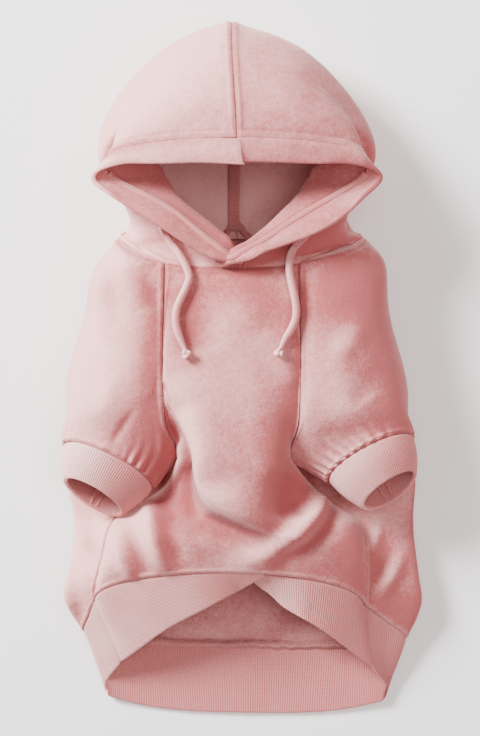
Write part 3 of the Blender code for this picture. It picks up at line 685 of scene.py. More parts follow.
def front_seam(side, at):
    """The raglan seam at the chest, from the neck at 0 to the underarm at 1."""
    points = placed(*read(FRONT_SEAM, "out down up", at).T, CHEST_HALF_WIDTH)
    points[:, 0] = points[:, 0] * side + CHEST_SHIFT
    return points


def back_seam(side, at):
    """The raglan seam at the back, from the neck at 0 to the underarm at 1."""
    rows = placed(BACK_SEAM["out"], BACK_SEAM["down"], BACK_SEAM["up"], BODY_HALF_WIDTH)
    rows[:, 0] *= side
    knots = np.append(BACK_SEAM["at"], 1)
    return through(knots, np.vstack([rows, front_seam(side, 1)]), at)


def side_seam(side, at):
    """The side seam, from the underarm at 0 to the hem at 1."""
    rows = placed(SIDE_SEAM["out"], SIDE_SEAM["down"], SIDE_SEAM["up"], BODY_HALF_WIDTH)
    rows[:, 0] = rows[:, 0] * side + SIDE_SEAM_SHIFT * SIDE_SEAM["at"]
    knots = np.append(0, SIDE_SEAM["at"])
    return through(knots, np.vstack([front_seam(side, 1), rows]), at)


def edge_of(raglan, side, at):
    """A body piece's edge: down a raglan seam to 1, then down the side seam to 2."""
    upper = raglan(side, np.minimum(at, 1))
    return np.where(at[:, None] <= 1, upper, side_seam(side, np.maximum(at - 1, 0)))


print("underarm at", front_seam(RIGHT, 1).round(3))

# %% [markdown]
# How the garment leans
#
# The photo's garment lies a little crooked: its lower body sits to the right, its hem is
# tilted, and one shoulder and one hip are fuller than the other. Every body piece passes
# through this one function, so they stay together.

# %% Lean the body
HEM_SHIFT = 0.006
HEM_TILT = 0.002
LEFT_BULGE = 0.005
RIGHT_SHOULDER = 0.008


def lean(points):
    """Shift the lower body to the right, tilt its hem, and fill out a shoulder and a hip."""
    down = (NECK_Y - points[..., 1]) / BODY_LENGTH
    share = smooth((down - 0.375) / 0.5)
    out = points[..., 0] / BODY_HALF_WIDTH
    bulge = np.exp(-((down - 0.88) / 0.08) ** 2) * smooth(-2 * out - 0.6)
    shoulder = np.exp(-((down - 0.03) / 0.07) ** 2) * smooth(2 * out - 0.6)
    moved = points.copy()
    moved[..., 0] += HEM_SHIFT * share - LEFT_BULGE * bulge + RIGHT_SHOULDER * shoulder
    moved[..., 1] -= HEM_TILT * share * out
    return moved


# %% [markdown]
# Folds
#
# Cloth that is filled out but slack folds between the places that hold it. A simulation would
# find some folds, but not these ones. So each fold is drawn as a line on the garment,
# seen from above, with a height and a width on either side. The surface rises along the line
# in a bell shape, e to the minus square of the distance over the width. A narrow width on one
# side makes that flank steep.

# %% Raise folds along lines
MM = 0.001


def raise_folds(grid, normals, folds):
    """How far each point rises: the sum of all folds' bells.

    Each row of folds holds a height, the widths left and right of the line as one walks along
    it, and the line's points, all in millimetres. Only what faces up is raised.
    """
    lift = np.zeros(grid.shape[:2])
    for height, left, right, *line in folds:
        line = through(np.arange(len(line)), np.array(line, float), np.linspace(0, len(line) - 1, 25))
        line = line * MM
        best = np.full(grid.shape[:2], np.inf)
        width = np.full(grid.shape[:2], 1.0)
        taper = np.zeros(grid.shape[:2])
        for i in range(24):
            run = line[i + 1] - line[i]
            offset = grid[..., :2] - line[i]
            share = np.clip(offset @ run / (run @ run), 0, 1)
            away = np.linalg.norm(offset - share[..., None] * run, axis=-1)
            on_left = run[0] * offset[..., 1] - run[1] * offset[..., 0] > 0
            nearer = away < best
            best = np.where(nearer, away, best)
            width = np.where(nearer, np.where(on_left, left, right) * MM, width)
            taper = np.where(nearer, np.sin(np.pi * np.clip((i + share) / 24, 0.03, 0.97)), taper)
        lift += height * MM * np.exp(-(best / width) ** 2) * taper ** 0.5
    return lift * smooth(normals[..., 2] * 2.5)


def nap(grid, handed, closed=False):
    """How far a face turns towards the key light at the upper left, from -1 to 1: painted light that makes such
    faces paler and the others deeper.
    """
    normals = facing(grid, handed, closed)
    return normals @ KEY_LIGHT_WAY * (0.3 + 0.7 * smooth(2 * normals[..., 2]))


def billow(points, size, seed):
    """Smooth random swellings about size metres across, from -1 to 1.

    A random value at each corner of a lattice, eased between the corners.
    """
    values = np.random.default_rng(seed).uniform(-1, 1, (64, 64, 64))
    place = points / size + 31.7
    low = np.floor(place).astype(int)
    share = smooth(place - low)
    total = np.zeros(points.shape[:-1])
    for corner in np.ndindex(2, 2, 2):
        weight = np.prod(np.where(corner, share, 1 - share), axis=-1)
        i, j, k = np.moveaxis((low + corner) % 64, -1, 0)
        total += weight * values[i, j, k]
    return total


def seam_roll(run, radius):
    """How far cloth sinks as it rolls into a seam: a quarter circle over the last stretch."""
    share = np.clip(1 - run / radius, 0, 1)
    return radius * (1 - np.sqrt(1 - share ** 2))


def bell(run, place, width):
    """A bell shape round a place."""
    return np.exp(-((run - place) / width) ** 2)


# Strokes of painted light and painted shade, drawn like folds: a positive one paints the cloth paler, a negative
# one deeper.
LIGHT_AND_SHADE_STROKES = (
    # the chest under the neck
    (-0.60, 24, 24, (-24, 66), (4, 58), (28, 64)),
    (-0.50, 13, 13, (-34, 58), (-33, 35), (-30, 10)),
    # the sleeves' upper parts and their raglan sides
    (-0.30, 18, 18, (-74, 76), (-80, 56), (-82, 34)),
    (-0.25, 10, 10, (-56, 62), (-55, 22), (-54, -18)),
    (-0.45, 22, 22, (58, 76), (72, 54), (80, 26)),
    (-0.35, 11, 11, (48, 64), (50, 38), (50, 14)),
    # the sleeves' lower parts
    (0.30, 15, 15, (-97, 2), (-96, -18), (-90, -42)),
    (0.40, 14, 14, (78, -2), (70, -18), (60, -36)),
    # the shades beside the belly's two large folds
    (-0.95, 15, 12, (-50, -44), (-52, -64), (-49, -82), (-42, -96), (-26, -105)),
    (-0.45, 9, 9, (44, -62), (36, -82), (26, -96)),
    (-0.40, 8, 7, (68, -84), (60, -102), (44, -118)),
    # the low belly and the hood's right side
    (0.30, 13, 13, (-28, -128), (0, -132), (24, -130)),
    (0.20, 18, 18, (66, 176), (78, 158), (82, 144)),
)


print("the seam roll sinks by", seam_roll(np.array([0.0]), 0.0016)[0] * 1000, "mm at the seam")

# %% [markdown]
# The chest
#
# The narrow chest piece arches over from one raglan seam to the other. Across each row an
# angle turns from -90 to 90 degrees: the way out is its sine and the drop is one minus its
# cosine, both raised to a power that makes the arch fuller or slacker. Its big folds run from
# the underarms to the middle of the belly.

# %% Shape the chest
RAGLAN = crowd(72, end=False)
SIDE = 1 + crowd(60, start=False)[1:]
BODY_AT = np.append(RAGLAN, SIDE)
SEAM_ROLL = 0.0017
CLOTH = 0.002
FRONT_ROWS = table(
    "at down up fullness",
    (0, 0.079, 0.88, 2.0),
    (0.36, 0.209, 0.987, 2.4),
    (0.72, 0.374, 1.026, 2.6),
    (1, 0.525, 1.02, 3.2),
    (1.16, 0.58, 0.99, 2.0),
    (1.32, 0.64, 0.94, 1.7),
    (1.5, 0.69, 0.88, 2.0),
    (1.66, 0.735, 0.816, 2.4),
    (2, 0.809, 0.684, 2.0),
)
CHEST_FOLDS = (
    # from the left underarm into the belly, steep towards the arm
    (7.5, 20, 6, (-40, -27), (-34, -40), (-28, -54), (-24, -68), (-18, -81), (-5, -91),
     (14, -101), (30, -109)),
    # the pocket by the left underarm and the hollow under the fold
    (-9.0, 7, 6, (-44, -30), (-40, -42), (-35, -56), (-36, -70), (-34, -86), (-24, -99),
     (-8, -107), (12, -114), (30, -121)),
    # the deep shade under the left arm
    (-8.0, 10, 8, (-55, -58), (-53, -72), (-49, -86), (-41, -98), (-29, -108)),
    # from the right side into the belly
    (7.0, 8, 7, (60, -76), (56, -92), (49, -102), (38, -112), (23, -121), (5, -129)),
    # the hollow above it
    (-7.5, 11, 11, (38, -68), (34, -86), (29, -102)),
    (-4.0, 7, 7, (46, -84), (43, -100)),
    # the hollow right of it
    (-5.0, 7, 7, (66, -86), (60, -103), (49, -116), (34, -126)),
    # small folds above the hem on the left
    (4.5, 6, 6, (-60, -84), (-57, -103), (-52, -121), (-45, -136)),
    (3.5, 5, 5, (-84, -109), (-76, -128), (-66, -144)),
    (-3.5, 5, 5, (-76, -100), (-68, -121), (-59, -139)),
    (-3.5, 6, 6, (-50, -94), (-44, -117), (-36, -130)),
    # soft swellings of the chest
    (-1.8, 10, 10, (-27, 34), (-25, 8)),
    (1.6, 16, 16, (2, 60), (4, 24)),
    (1.5, 9, 9, (33, 20), (36, -14)),
)


def chest(at, across):
    """The chest as a grid: places along the body by places across it, from -1 to 1."""
    down, up, fullness = read(FRONT_ROWS, "down up fullness", at).T
    middle = placed(np.zeros_like(down), down, up, CHEST_HALF_WIDTH)
    edges = {side: edge_of(front_seam, side, at) for side in (LEFT, RIGHT)}
    middle[:, 0] = (edges[LEFT][:, 0] + edges[RIGHT][:, 0]) / 2
    edge = np.where((across < 0)[None, :, None], edges[LEFT][:, None], edges[RIGHT][:, None])
    angle = np.abs(across) * np.pi / 2
    power = 2 / fullness[:, None]
    out = np.sin(angle) ** power
    drop = 1 - np.maximum(np.cos(angle), 0) ** power
    share = np.stack([out, drop, drop], -1)
    share[:, np.abs(across) == 1] = 1
    return middle[:, None] + (edge - middle[:, None]) * share


def dressed(base, handed, folds, rolls, seed, puff=0.0009):
    """Add what all velour pieces share to a base surface.

    Folds, soft billows, puckers that die away from the seams, and a roll into each seam.
    rolls says how deep each of the four borders rolls. The grid, its base normals and its
    marks come back.
    """
    normals = facing(base, handed)
    fold = raise_folds(base, normals, folds)
    soft = puff * billow(base, 0.034, seed) + 0.25 * puff * billow(base, 0.011, seed + 1)
    sink = np.zeros(base.shape[:2])
    groove = np.zeros(base.shape[:2])
    calm = np.ones(base.shape[:2])
    for run, depth in zip(across_and_down(base), rolls):
        if np.any(depth):
            fold = fold * smooth(run / 0.005)
            soft = soft * smooth(run / 0.010)
            near = np.exp(-(run / 0.006) ** 2)
            sink = sink + seam_roll(run, SEAM_ROLL) * depth
            sink = sink - 0.00045 * depth * bell(run, 0.0028, 0.0013)
            sink = sink + 0.0004 * near * billow(base, 0.0045, seed + 2) * smooth(run / 0.002)
            # Painted shade: full in the seam itself, fainter beside it.
            groove = np.maximum(groove, np.clip(1 - run / 0.0013, 0, 1) * depth)
            groove = np.maximum(groove, 0.45 * depth * np.exp(-(run / 0.0035) ** 2))
            calm = calm * smooth(run / 0.007)
    grid = base + normals * (fold + soft - sink)[..., None]
    grid[..., 2] = np.maximum(grid[..., 2], 0)
    # Marks for painted light and shade: seams and fold hollows deeper, fold ridges and faces turned to the key
    # light paler (less so near the seams), and the strokes of painted light and shade.
    marks = {"groove": groove, "swell": np.clip(fold / 0.003, -1, 1), "nap": nap(grid, handed) * calm,
             "brushed": raise_folds(base, normals, LIGHT_AND_SHADE_STROKES) / MM}
    return grid, normals, marks


CHEST_ACROSS = 2 * crowd(110) - 1
chest_base = lean(chest(BODY_AT, CHEST_ACROSS))
chest_grid, chest_normals, chest_marks = dressed(chest_base, 1, CHEST_FOLDS, (1, 1, 1, 1), 11)
print("chest grid", chest_grid.shape, "highest point", round(chest_grid[..., 2].max() * 1000, 1), "mm")

# %% [markdown]
# The back
#
# The back piece wraps round both sides and lies flat on the floor in its middle. Each row runs
# through nine places: the seam, a place under the arm, the widest point and the place where it
# leaves the floor, then the middle and the same again on the other side.

# %% Shape the back
BACK_ROWS = table(
    "at side_out side_down side_up foot_out foot_down down up",
    (0, 0.373, -0.004, 0.029, 0.22, 0.0, 0.0, 0.026),
    (0.25, 0.542, 0.165, 0.016, 0.339, 0.165, 0.165, 0),
    (0.5, 0.678, 0.317, 0.03, 0.475, 0.317, 0.317, 0),
    (0.7, 0.822, 0.432, 0.08, 0.64, 0.424, 0.424, 0),
    (0.85, 0.90, 0.496, 0.11, 0.73, 0.489, 0.489, 0),
    (1, 0.924, 0.547, 0.10, 0.78, 0.547, 0.54, 0),
    (1.32, 0.945, 0.669, 0.17, 0.80, 0.669, 0.669, 0),
    (1.66, 0.985, 0.81, 0.27, 0.80, 0.81, 0.791, 0),
    (1.84, 1.0, 0.885, 0.25, 0.76, 0.90, 0.90, 0),
    (2, 0.92, 0.966, 0.184, 0.66, 0.99, 1.0, 0.02),
)
BACK_FOLDS = (
    (-1.8, 4, 4, (-101, -112), (-98, -122), (-94, -132)),
    (1.6, 5, 5, (-106, -120), (-103, -140), (-98, -152)),
    (-1.8, 5, 5, (-110, -158), (-104, -176)),
    (1.8, 4, 4, (98, -104), (94, -115), (91, -126)),
    (2.2, 5, 5, (112, -124), (106, -138), (97, -153)),
    (-2.0, 5, 5, (101, -128), (96, -143)),
    (-1.5, 5, 5, (90, -120), (88, -140), (88, -155)),
)
UNDERARM_AT = 1.12
UNDERARM_REACH = 0.25
UNDERARM_TUCK = 0.4
UNDERARM_HOLLOW = 0.8


def back(at, across):
    """The back as a grid: places along the body by places across it, from -1 to 1."""
    names = "side_out side_down side_up foot_out foot_down down up"
    side_out, side_down, side_up, foot_out, foot_down, down, up = read(BACK_ROWS, names, at).T
    side = placed(side_out, side_down, side_up, BODY_HALF_WIDTH)
    foot = placed(foot_out, foot_down, up, BODY_HALF_WIDTH)
    middle = placed(np.zeros_like(down), down, up, BODY_HALF_WIDTH)
    mirror = np.array([-1, 1, 1])
    tuck = np.exp(-((at - UNDERARM_AT) / UNDERARM_REACH) ** 2)[:, None]
    rows = {}
    for hand, widest in ((LEFT, side * mirror), (RIGHT, side)):
        edge = edge_of(back_seam, hand, at)
        under = edge + (widest - edge) * (0.5 - UNDERARM_TUCK * tuck)
        under[:, 2:] -= (under[:, 2:] - side[:, 2:]) * UNDERARM_HOLLOW * tuck
        rows[hand] = [edge, under, widest]
    lines = np.stack([*rows[LEFT], foot * mirror, middle, foot, *rows[RIGHT][::-1]])
    knots = (-1, -0.875, -0.75, -0.5, 0, 0.5, 0.75, 0.875, 1)
    grid = through(knots, lines, across).transpose(1, 0, 2)
    grid[..., 2] = np.maximum(grid[..., 2], 0)
    return grid


BACK_ACROSS = 2 * crowd(130) - 1
back_base = lean(back(BODY_AT, BACK_ACROSS))
back_grid, back_normals, back_marks = dressed(back_base, -1, BACK_FOLDS, (1, 1, 1, 1), 21, 0.0006)
print("back grid", back_grid.shape)

# %% [markdown]
# The sleeves
#
# A raglan sleeve is a tube of ovals from the neck down to the cuff. Down to the underarm each
# oval is open at the body, and its two ends are slid onto the raglan seams. The slide fades
# out round the sleeve. Near the cuff the cloth is gathered: a row of small waves that grow
# towards the seam.

# %% Shape the sleeves
SLEEVE = table(
    "at out down up wide_out wide_down deep_down deep_up start end",
    (0, 0.424, 0.032, 0.461, 0.254, -0.025, 0.029, 0.408, 80, 268),
    (0.1, 0.487, 0.097, 0.485, 0.318, -0.020, 0.020, 0.43, 77, 259),
    (0.25, 0.525, 0.209, 0.50, 0.339, -0.014, 0.011, 0.447, 68, 246),
    (0.5, 0.61, 0.353, 0.526, 0.347, -0.018, 0.0, 0.434, 54, 240),
    (0.65, 0.64, 0.425, 0.55, 0.339, -0.026, -0.010, 0.40, 44, 236),
    (0.75, 0.648, 0.448, 0.57, 0.339, -0.034, -0.020, 0.375, 36, 250),
    (0.85, 0.653, 0.468, 0.60, 0.339, -0.043, -0.030, 0.335, 22, 275),
    (0.93, 0.656, 0.478, 0.622, 0.335, -0.047, -0.034, 0.30, 10, 310),
    (1, 0.668, 0.488, 0.64, 0.327, -0.05, -0.038, 0.272, 0, 360),
    (1.3, 0.695, 0.502, 0.632, 0.297, -0.05, -0.040, 0.263, 0, 360),
    (2, 0.746, 0.534, 0.605, 0.246, -0.049, -0.038, 0.25, 0, 360),
)
SLEEVE_DROOP = 0.006
DROOP_START = 0.8
SLEEVE_FOLDS = {
    LEFT: (
        (1.6, 7, 7, (-80, 78), (-73, 58), (-64, 37)),
        (-1.6, 6, 6, (-63, 70), (-57, 55), (-53, 38)),
        (-1.2, 8, 8, (-89, 61), (-85, 42), (-82, 25)),
        (-1.0, 3, 3, (-68, -28), (-76, -40), (-83, -51)),
        (0.9, 2.5, 2.5, (-51, -42), (-51, -60)),
        (-1.2, 9, 9, (-56, -10), (-53, -32)),
        (1.2, 9, 9, (-88, -8), (-92, -30)),
    ),
    RIGHT: (
        (2.0, 8, 8, (82, 28), (73, 15), (65, 4)),
        (1.8, 9, 6, (44, -8), (47, -28), (49, -47)),
        (-1.8, 7, 7, (43, 66), (45, 52), (47, 42)),
        (0.8, 2, 2, (42, 37), (42, 26)),
        (-1.4, 9, 9, (90, -2), (86, -22)),
    ),
}
GATHERS = {LEFT: 0.0010, RIGHT: 0.0020}
GATHER_PITCH = 0.0068


def oval(side, out, down, up, wide_out, wide_down, deep_down, deep_up, turn):
    """The sleeve's middle, less the cosine of the turn times its half width, plus the sine
    times its half depth."""
    cosine = np.cos(turn)
    sine = np.sin(turn)
    points = placed(out - wide_out * cosine, down - wide_down * cosine + deep_down * sine,
                    up + deep_up * sine, BODY_HALF_WIDTH)
    points[..., 0] *= side
    return points


def droop(side, points, share):
    """Let the left sleeve's end lie a little lower than the right one's."""
    points[..., 1] -= np.where(side == LEFT, SLEEVE_DROOP, 0) * smooth(share)
    return points


def sleeve(side, at, around):
    """The sleeve as a grid: places from the neck at 0 to the cuff at 2, by places round it."""
    at = np.atleast_1d(at)
    held = np.minimum(at, 1)
    columns = read(SLEEVE, "out down up wide_out wide_down deep_down deep_up start end", at).T
    turn = np.clip(np.radians(columns[7:]), 0, 2 * np.pi).T
    ends = oval(side, *columns[:7, :, None], turn)
    last = read(SLEEVE, "out down up wide_out wide_down deep_down deep_up", 1.0).T
    last = oval(side, *last[:, :, None], np.array([[0, 2 * np.pi]]))
    seams = np.stack([front_seam(side, held), back_seam(side, held)], 1)
    below = (at > 1)[:, None, None]
    fade = np.where(below, np.cos((at - held) * np.pi / 2)[:, None, None], 1)
    slip = (seams - np.where(below, last, ends)) * fade
    points = oval(side, *columns[:7, :, None], turn[:, :1] + (turn[:, 1:] - turn[:, :1]) * around)
    near = (1 - smooth(around * 2))[None, :, None]
    far = smooth(around * 2 - 1)[None, :, None]
    points = points + slip[:, :1] * near + slip[:, 1:] * far
    return droop(side, points, (at[:, None] - DROOP_START) / (2 - DROOP_START))


def relax(grid, weight, passes):
    """Even out a grid down its rows: each pass moves points towards the mean of the rows
    above and below, as far as their weight says."""
    for _ in range(passes):
        grid[1:-1] += weight[1:-1, :, None] * 0.5 * ((grid[:-2] + grid[2:]) / 2 - grid[1:-1])
    return grid


RELAX_PASSES = 220
SLEEVE_AT = np.append(RAGLAN, 1 + crowd(40, start=False)[1:])
AROUND = crowd(230, ease=0.6)
sleeves = {}
for side in (LEFT, RIGHT):
    base = lean(sleeve(side, SLEEVE_AT, AROUND))
    _, _, left_run, right_run = across_and_down(base)
    ease = bell(SLEEVE_AT, 1.1, 0.4)[:, None] * smooth(np.minimum(left_run, right_run) / 0.015)
    base = relax(base, ease, RELAX_PASSES)
    inseam = 1 - 0.8 * smooth((SLEEVE_AT - 0.95) / 0.1)[:, None]
    grid, normals, marks = dressed(base, side, SLEEVE_FOLDS[side], (0.5, 1, inseam, inseam), 31 + side)
    _, to_cuff, along, _ = across_and_down(base)
    wave = np.cos(2 * np.pi * along[-1][None] / GATHER_PITCH + 2.5 * billow(base[-1:], 0.02, 5))
    size = np.clip(0.35 + 1.3 * billow(base[-1:] * np.ones_like(base), 0.018, 6), 0, 1.1)
    wave = wave * size * np.exp(-(to_cuff / 0.011) ** 1.5) * smooth(to_cuff / 0.0025)
    grid = grid + normals * (GATHERS[side] * wave)[..., None]
    # Near the cuff the painted light follows the gathered surface, and the gathers paint light on their crests
    # and shade in their troughs.
    marks["nap"] = marks["nap"] + (nap(grid, side) - marks["nap"]) * np.exp(-(to_cuff / 0.014) ** 2)
    marks["swell"] = marks["swell"] + 0.7 * wave
    sleeves[side] = (grid, normals, marks)
print("sleeve grid", sleeves[LEFT][0].shape)

# %% [markdown]
# Sew the body together
#
# Two pieces that share a seam roll into it from both sides, so their edges end a hair apart.
# Each pair of edges is moved to its middle line, and then no light comes through. Then every
# grid becomes a wall of cloth.

# %% Sew and build the body
def sew(first, second):
    """The middle line of two edges."""
    return (first + second) / 2


raglan_rows = slice(0, len(RAGLAN))
side_rows = slice(len(RAGLAN) - 1, None)
for side, edge in ((LEFT, 0), (RIGHT, -1)):
    arm = sleeves[side][0]
    line = sew(chest_grid[raglan_rows, edge], arm[raglan_rows, 0])
    chest_grid[raglan_rows, edge] = arm[raglan_rows, 0] = line
    line = sew(back_grid[raglan_rows, edge], arm[raglan_rows, -1])
    back_grid[raglan_rows, edge] = arm[raglan_rows, -1] = line
    line = sew(chest_grid[side_rows, edge], back_grid[side_rows, edge])
    chest_grid[side_rows, edge] = back_grid[side_rows, edge] = line
    line = sew(arm[len(RAGLAN):, 0], arm[len(RAGLAN):, -1])
    arm[len(RAGLAN):, 0] = arm[len(RAGLAN):, -1] = line

WORDS = {LEFT: "left", RIGHT: "right"}
SEAM_LIPS = (0.2, 0.2)


def add_velour(name, node, grid, normals, marks, handed, lips=SEAM_LIPS):
    piece = cloth(name, grid, normals, CLOTH, [VELOUR, VELOUR_BACK], handed, False, lips, marks)
    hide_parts(node)


add_velour("chest_cloth", "chest_panel", chest_grid, chest_normals, chest_marks, 1)
add_velour("back_cloth", "back_panel", back_grid, back_normals, back_marks, -1)
for side, word in WORDS.items():
    add_velour(f"sleeve_cloth_{word}", f"sleeve_{word}", *sleeves[side], side)

# %% [markdown]
# Cuffs and hem band
#
# Both are rib knit, folded double. A rib is a rounded ridge that runs from the seam to the
# folded edge, and the furrow beside it is narrow. So the surface rises by the square root of
# the absolute cosine across the ribs. As many whole ribs go round as fit at the pitch.

# %% Knit the cuffs
RIB = 0.003
RIB_PITCH = 0.0016
RIB_HEIGHT = 0.0004
RIB_SAMPLES = 6
CUFF_LENGTH = 0.027
CUFF_BELLY = 0.0015
CUFF_MOUTH = table(
    "out down up wide_out wide_down deep_down deep_up",
    (0.40, 0.74, 0.0, 0.165, -0.038, -0.032, 0.197),
)


def rib_wave(share):
    """The rib's height from -1 in the furrow to 0 on the ridge, by turns of the rib."""
    return np.abs(np.cos(np.pi * share)) ** 0.5 - 1


def even_columns(grid, count):
    """Read a grid again in count even steps along its middle row."""
    run = np.cumsum(np.linalg.norm(np.diff(grid[len(grid) // 2], axis=0), axis=-1))
    run = np.append(0, run)
    return through(run, grid.transpose(1, 0, 2), np.linspace(0, run[-1], count + 1)).transpose(1, 0, 2)


def knit_band(base, handed, closed):
    """Put ribs on a band, with a furrow at its seam: the grid, its normals and its grooves."""
    length = np.linalg.norm(np.diff(base[len(base) // 2], axis=0), axis=-1).sum()
    ribs = round(length / RIB_PITCH)
    base = even_columns(base, ribs * RIB_SAMPLES)
    normals = facing(base, handed, closed)
    share = np.arange(ribs * RIB_SAMPLES + 1)[None] / RIB_SAMPLES
    wave = rib_wave(share)
    to_seam, to_edge, _, _ = across_and_down(base)
    height = RIB_HEIGHT * wave * smooth(to_seam / 0.002) - seam_roll(to_seam, 0.0014)
    height = height + 0.0004 * billow(base, 0.02, 71)
    # Painted shade in the rib furrows and at the seam, and painted light on faces turned to the key light.
    groove = np.maximum(-wave, np.clip(1 - to_seam / 0.0012, 0, 1)) + 0 * to_seam
    marks = {"groove": groove, "nap": nap(base, handed, closed)}
    return base + normals * height[..., None], normals, marks, ribs


def cuff(side, at, around):
    """The cuff: straight from the sleeve's last oval to its mouth, a little barrel-shaped."""
    last = sleeve(side, 2.0, around)[0]
    end = {name: column[-1] for name, column in SLEEVE.items()}
    mouth = {name: column[0] for name, column in CUFF_MOUTH.items()}
    ring = oval(side, end["out"] + mouth["out"] * CUFF_LENGTH / BODY_HALF_WIDTH,
                end["down"] + mouth["down"] * CUFF_LENGTH / BODY_LENGTH, end["up"] + mouth["up"],
                mouth["wide_out"], mouth["wide_down"], mouth["deep_down"], mouth["deep_up"],
                2 * np.pi * around)
    ring = droop(side, ring, 1.0)
    share = at[:, None, None]
    points = last + (ring - last) * share
    out = unit(points - points[:, :-1].mean(1, keepdims=True))
    return points + out * CUFF_BELLY * np.sin(share * np.pi)


cuff_faces = {}
for side, word in WORDS.items():
    base = lean(cuff(side, crowd(22), np.linspace(0, 1, 241)))
    grid, normals, marks, ribs = knit_band(base, side, True)
    cuff_faces[side] = (grid, normals)
    piece = cloth(f"cuff_knit_{word}", grid, normals, RIB, [RIB_KNIT, RIB_INSIDE_SHADED], side, True, (0.2, 1.0), marks)
    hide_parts(f"cuff_{word}")
    print("cuff", word, ribs, "ribs")

# %% [markdown]
# The hem band goes once round, from the middle of the belly over the right side and back. Its
# left end lies over its right one and narrows to a tip in the seam, so the right end is sunk
# by the band's thickness.

# %% Knit the hem band
HEM_BAND_HEIGHT = 0.038
HEM_TIP = 1.15
HEM_TIP_HEIGHT = 0.10
HEM_UNDERLAP = 0.4
HEM_EDGE = table(
    "at out drop up",
    (0, 0.034, 0.29, 0.579),
    (0.125, 0.229, 0.57, 0.566),
    (0.25, 0.424, 0.79, 0.487),
    (0.375, 0.593, 1.0, 0.355),
    (0.5, 0.72, 1.08, 0.237),
    (0.625, 0.818, 0.99, 0.079),
    (0.6875, 0.79, 1.01, 0.039),
    (0.75, 0.65, 1.08, 0.013),
    (0.875, 0.322, 1.14, 0.0),
    (1, 0.0, 1.15, 0.0),
)
BELLY_STEPS = 64
TIP_STEPS = 12


def hem(down):
    """The hem band as a grid: places from the seam at 0 to the edge at 1, once round."""
    share = np.linspace(0, 1, BELLY_STEPS + 1)
    front = chest(np.array([2.0]), np.concatenate([-share[::-1], share[1:]]))[0]
    rear = back(np.array([2.0]), np.concatenate([-share[::-1], share[1:]]))[0]
    top = np.vstack([front[BELLY_STEPS:-1], rear[::-1][:-1], front[:BELLY_STEPS + 1]])
    round_at = np.linspace(0, 1, len(top) // 2 + 1)
    out, drop, up = read(HEM_EDGE, "out drop up", round_at).T
    low = top.copy()
    low[:, 0] = np.append(out, -out[-2::-1]) * BODY_HALF_WIDTH
    low[:, 1] -= np.append(drop, drop[-2::-1]) * HEM_BAND_HEIGHT
    low[:, 2] = np.append(up, up[-2::-1]) * CHEST_HEIGHT
    reach = 0.0168
    way = unit(top[1] - top[0])
    tip_top = top[-1] + way * reach * HEM_TIP
    tip_low = tip_top + (low[0] - top[0]) * HEM_TIP_HEIGHT
    share = np.linspace(0, 1, TIP_STEPS + 1)[1:, None]
    shift = way * reach * HEM_UNDERLAP
    ease = (1 - smooth(np.arange(len(top)) / (BELLY_STEPS / 4)))[:, None]
    sunk = (RIB + 0.0006) * (1 - smooth(np.arange(len(top)) / (BELLY_STEPS / 4) - 0.6))
    tip = top[-1] + (tip_top - top[-1]) * share, low[-1] + (tip_low - low[-1]) * share
    top = np.vstack([top + shift * ease, tip[0]])
    low = np.vstack([low + shift * ease, tip[1]])
    grid = top + (low - top) * down[:, None, None]
    grid[..., 2] = np.maximum(grid[..., 2] - np.append(sunk, np.zeros(TIP_STEPS)), 0)
    return grid


hem_base = lean(hem(crowd(20)))
hem_grid, hem_normals, hem_marks, ribs = knit_band(hem_base, 1, False)
hem_piece = cloth("hem_knit", hem_grid, hem_normals, RIB, [RIB_KNIT, RIB_INSIDE_SHADED], 1, False, (0.2, 1.0), hem_marks)
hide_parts("hem_band")
print("hem band", ribs, "ribs")

# %% [markdown]
# The hood
#
# Two halves meet along a seam over the head. Each half is a net of a few rows and places, with
# cubics laid through it both ways. Its first row is the neck seam at the back, and its last
# column the neck seam at the chest, so the net is blended onto them over a short way.
# The last rows are the casing, a band that is turned to the inside and stitched down.

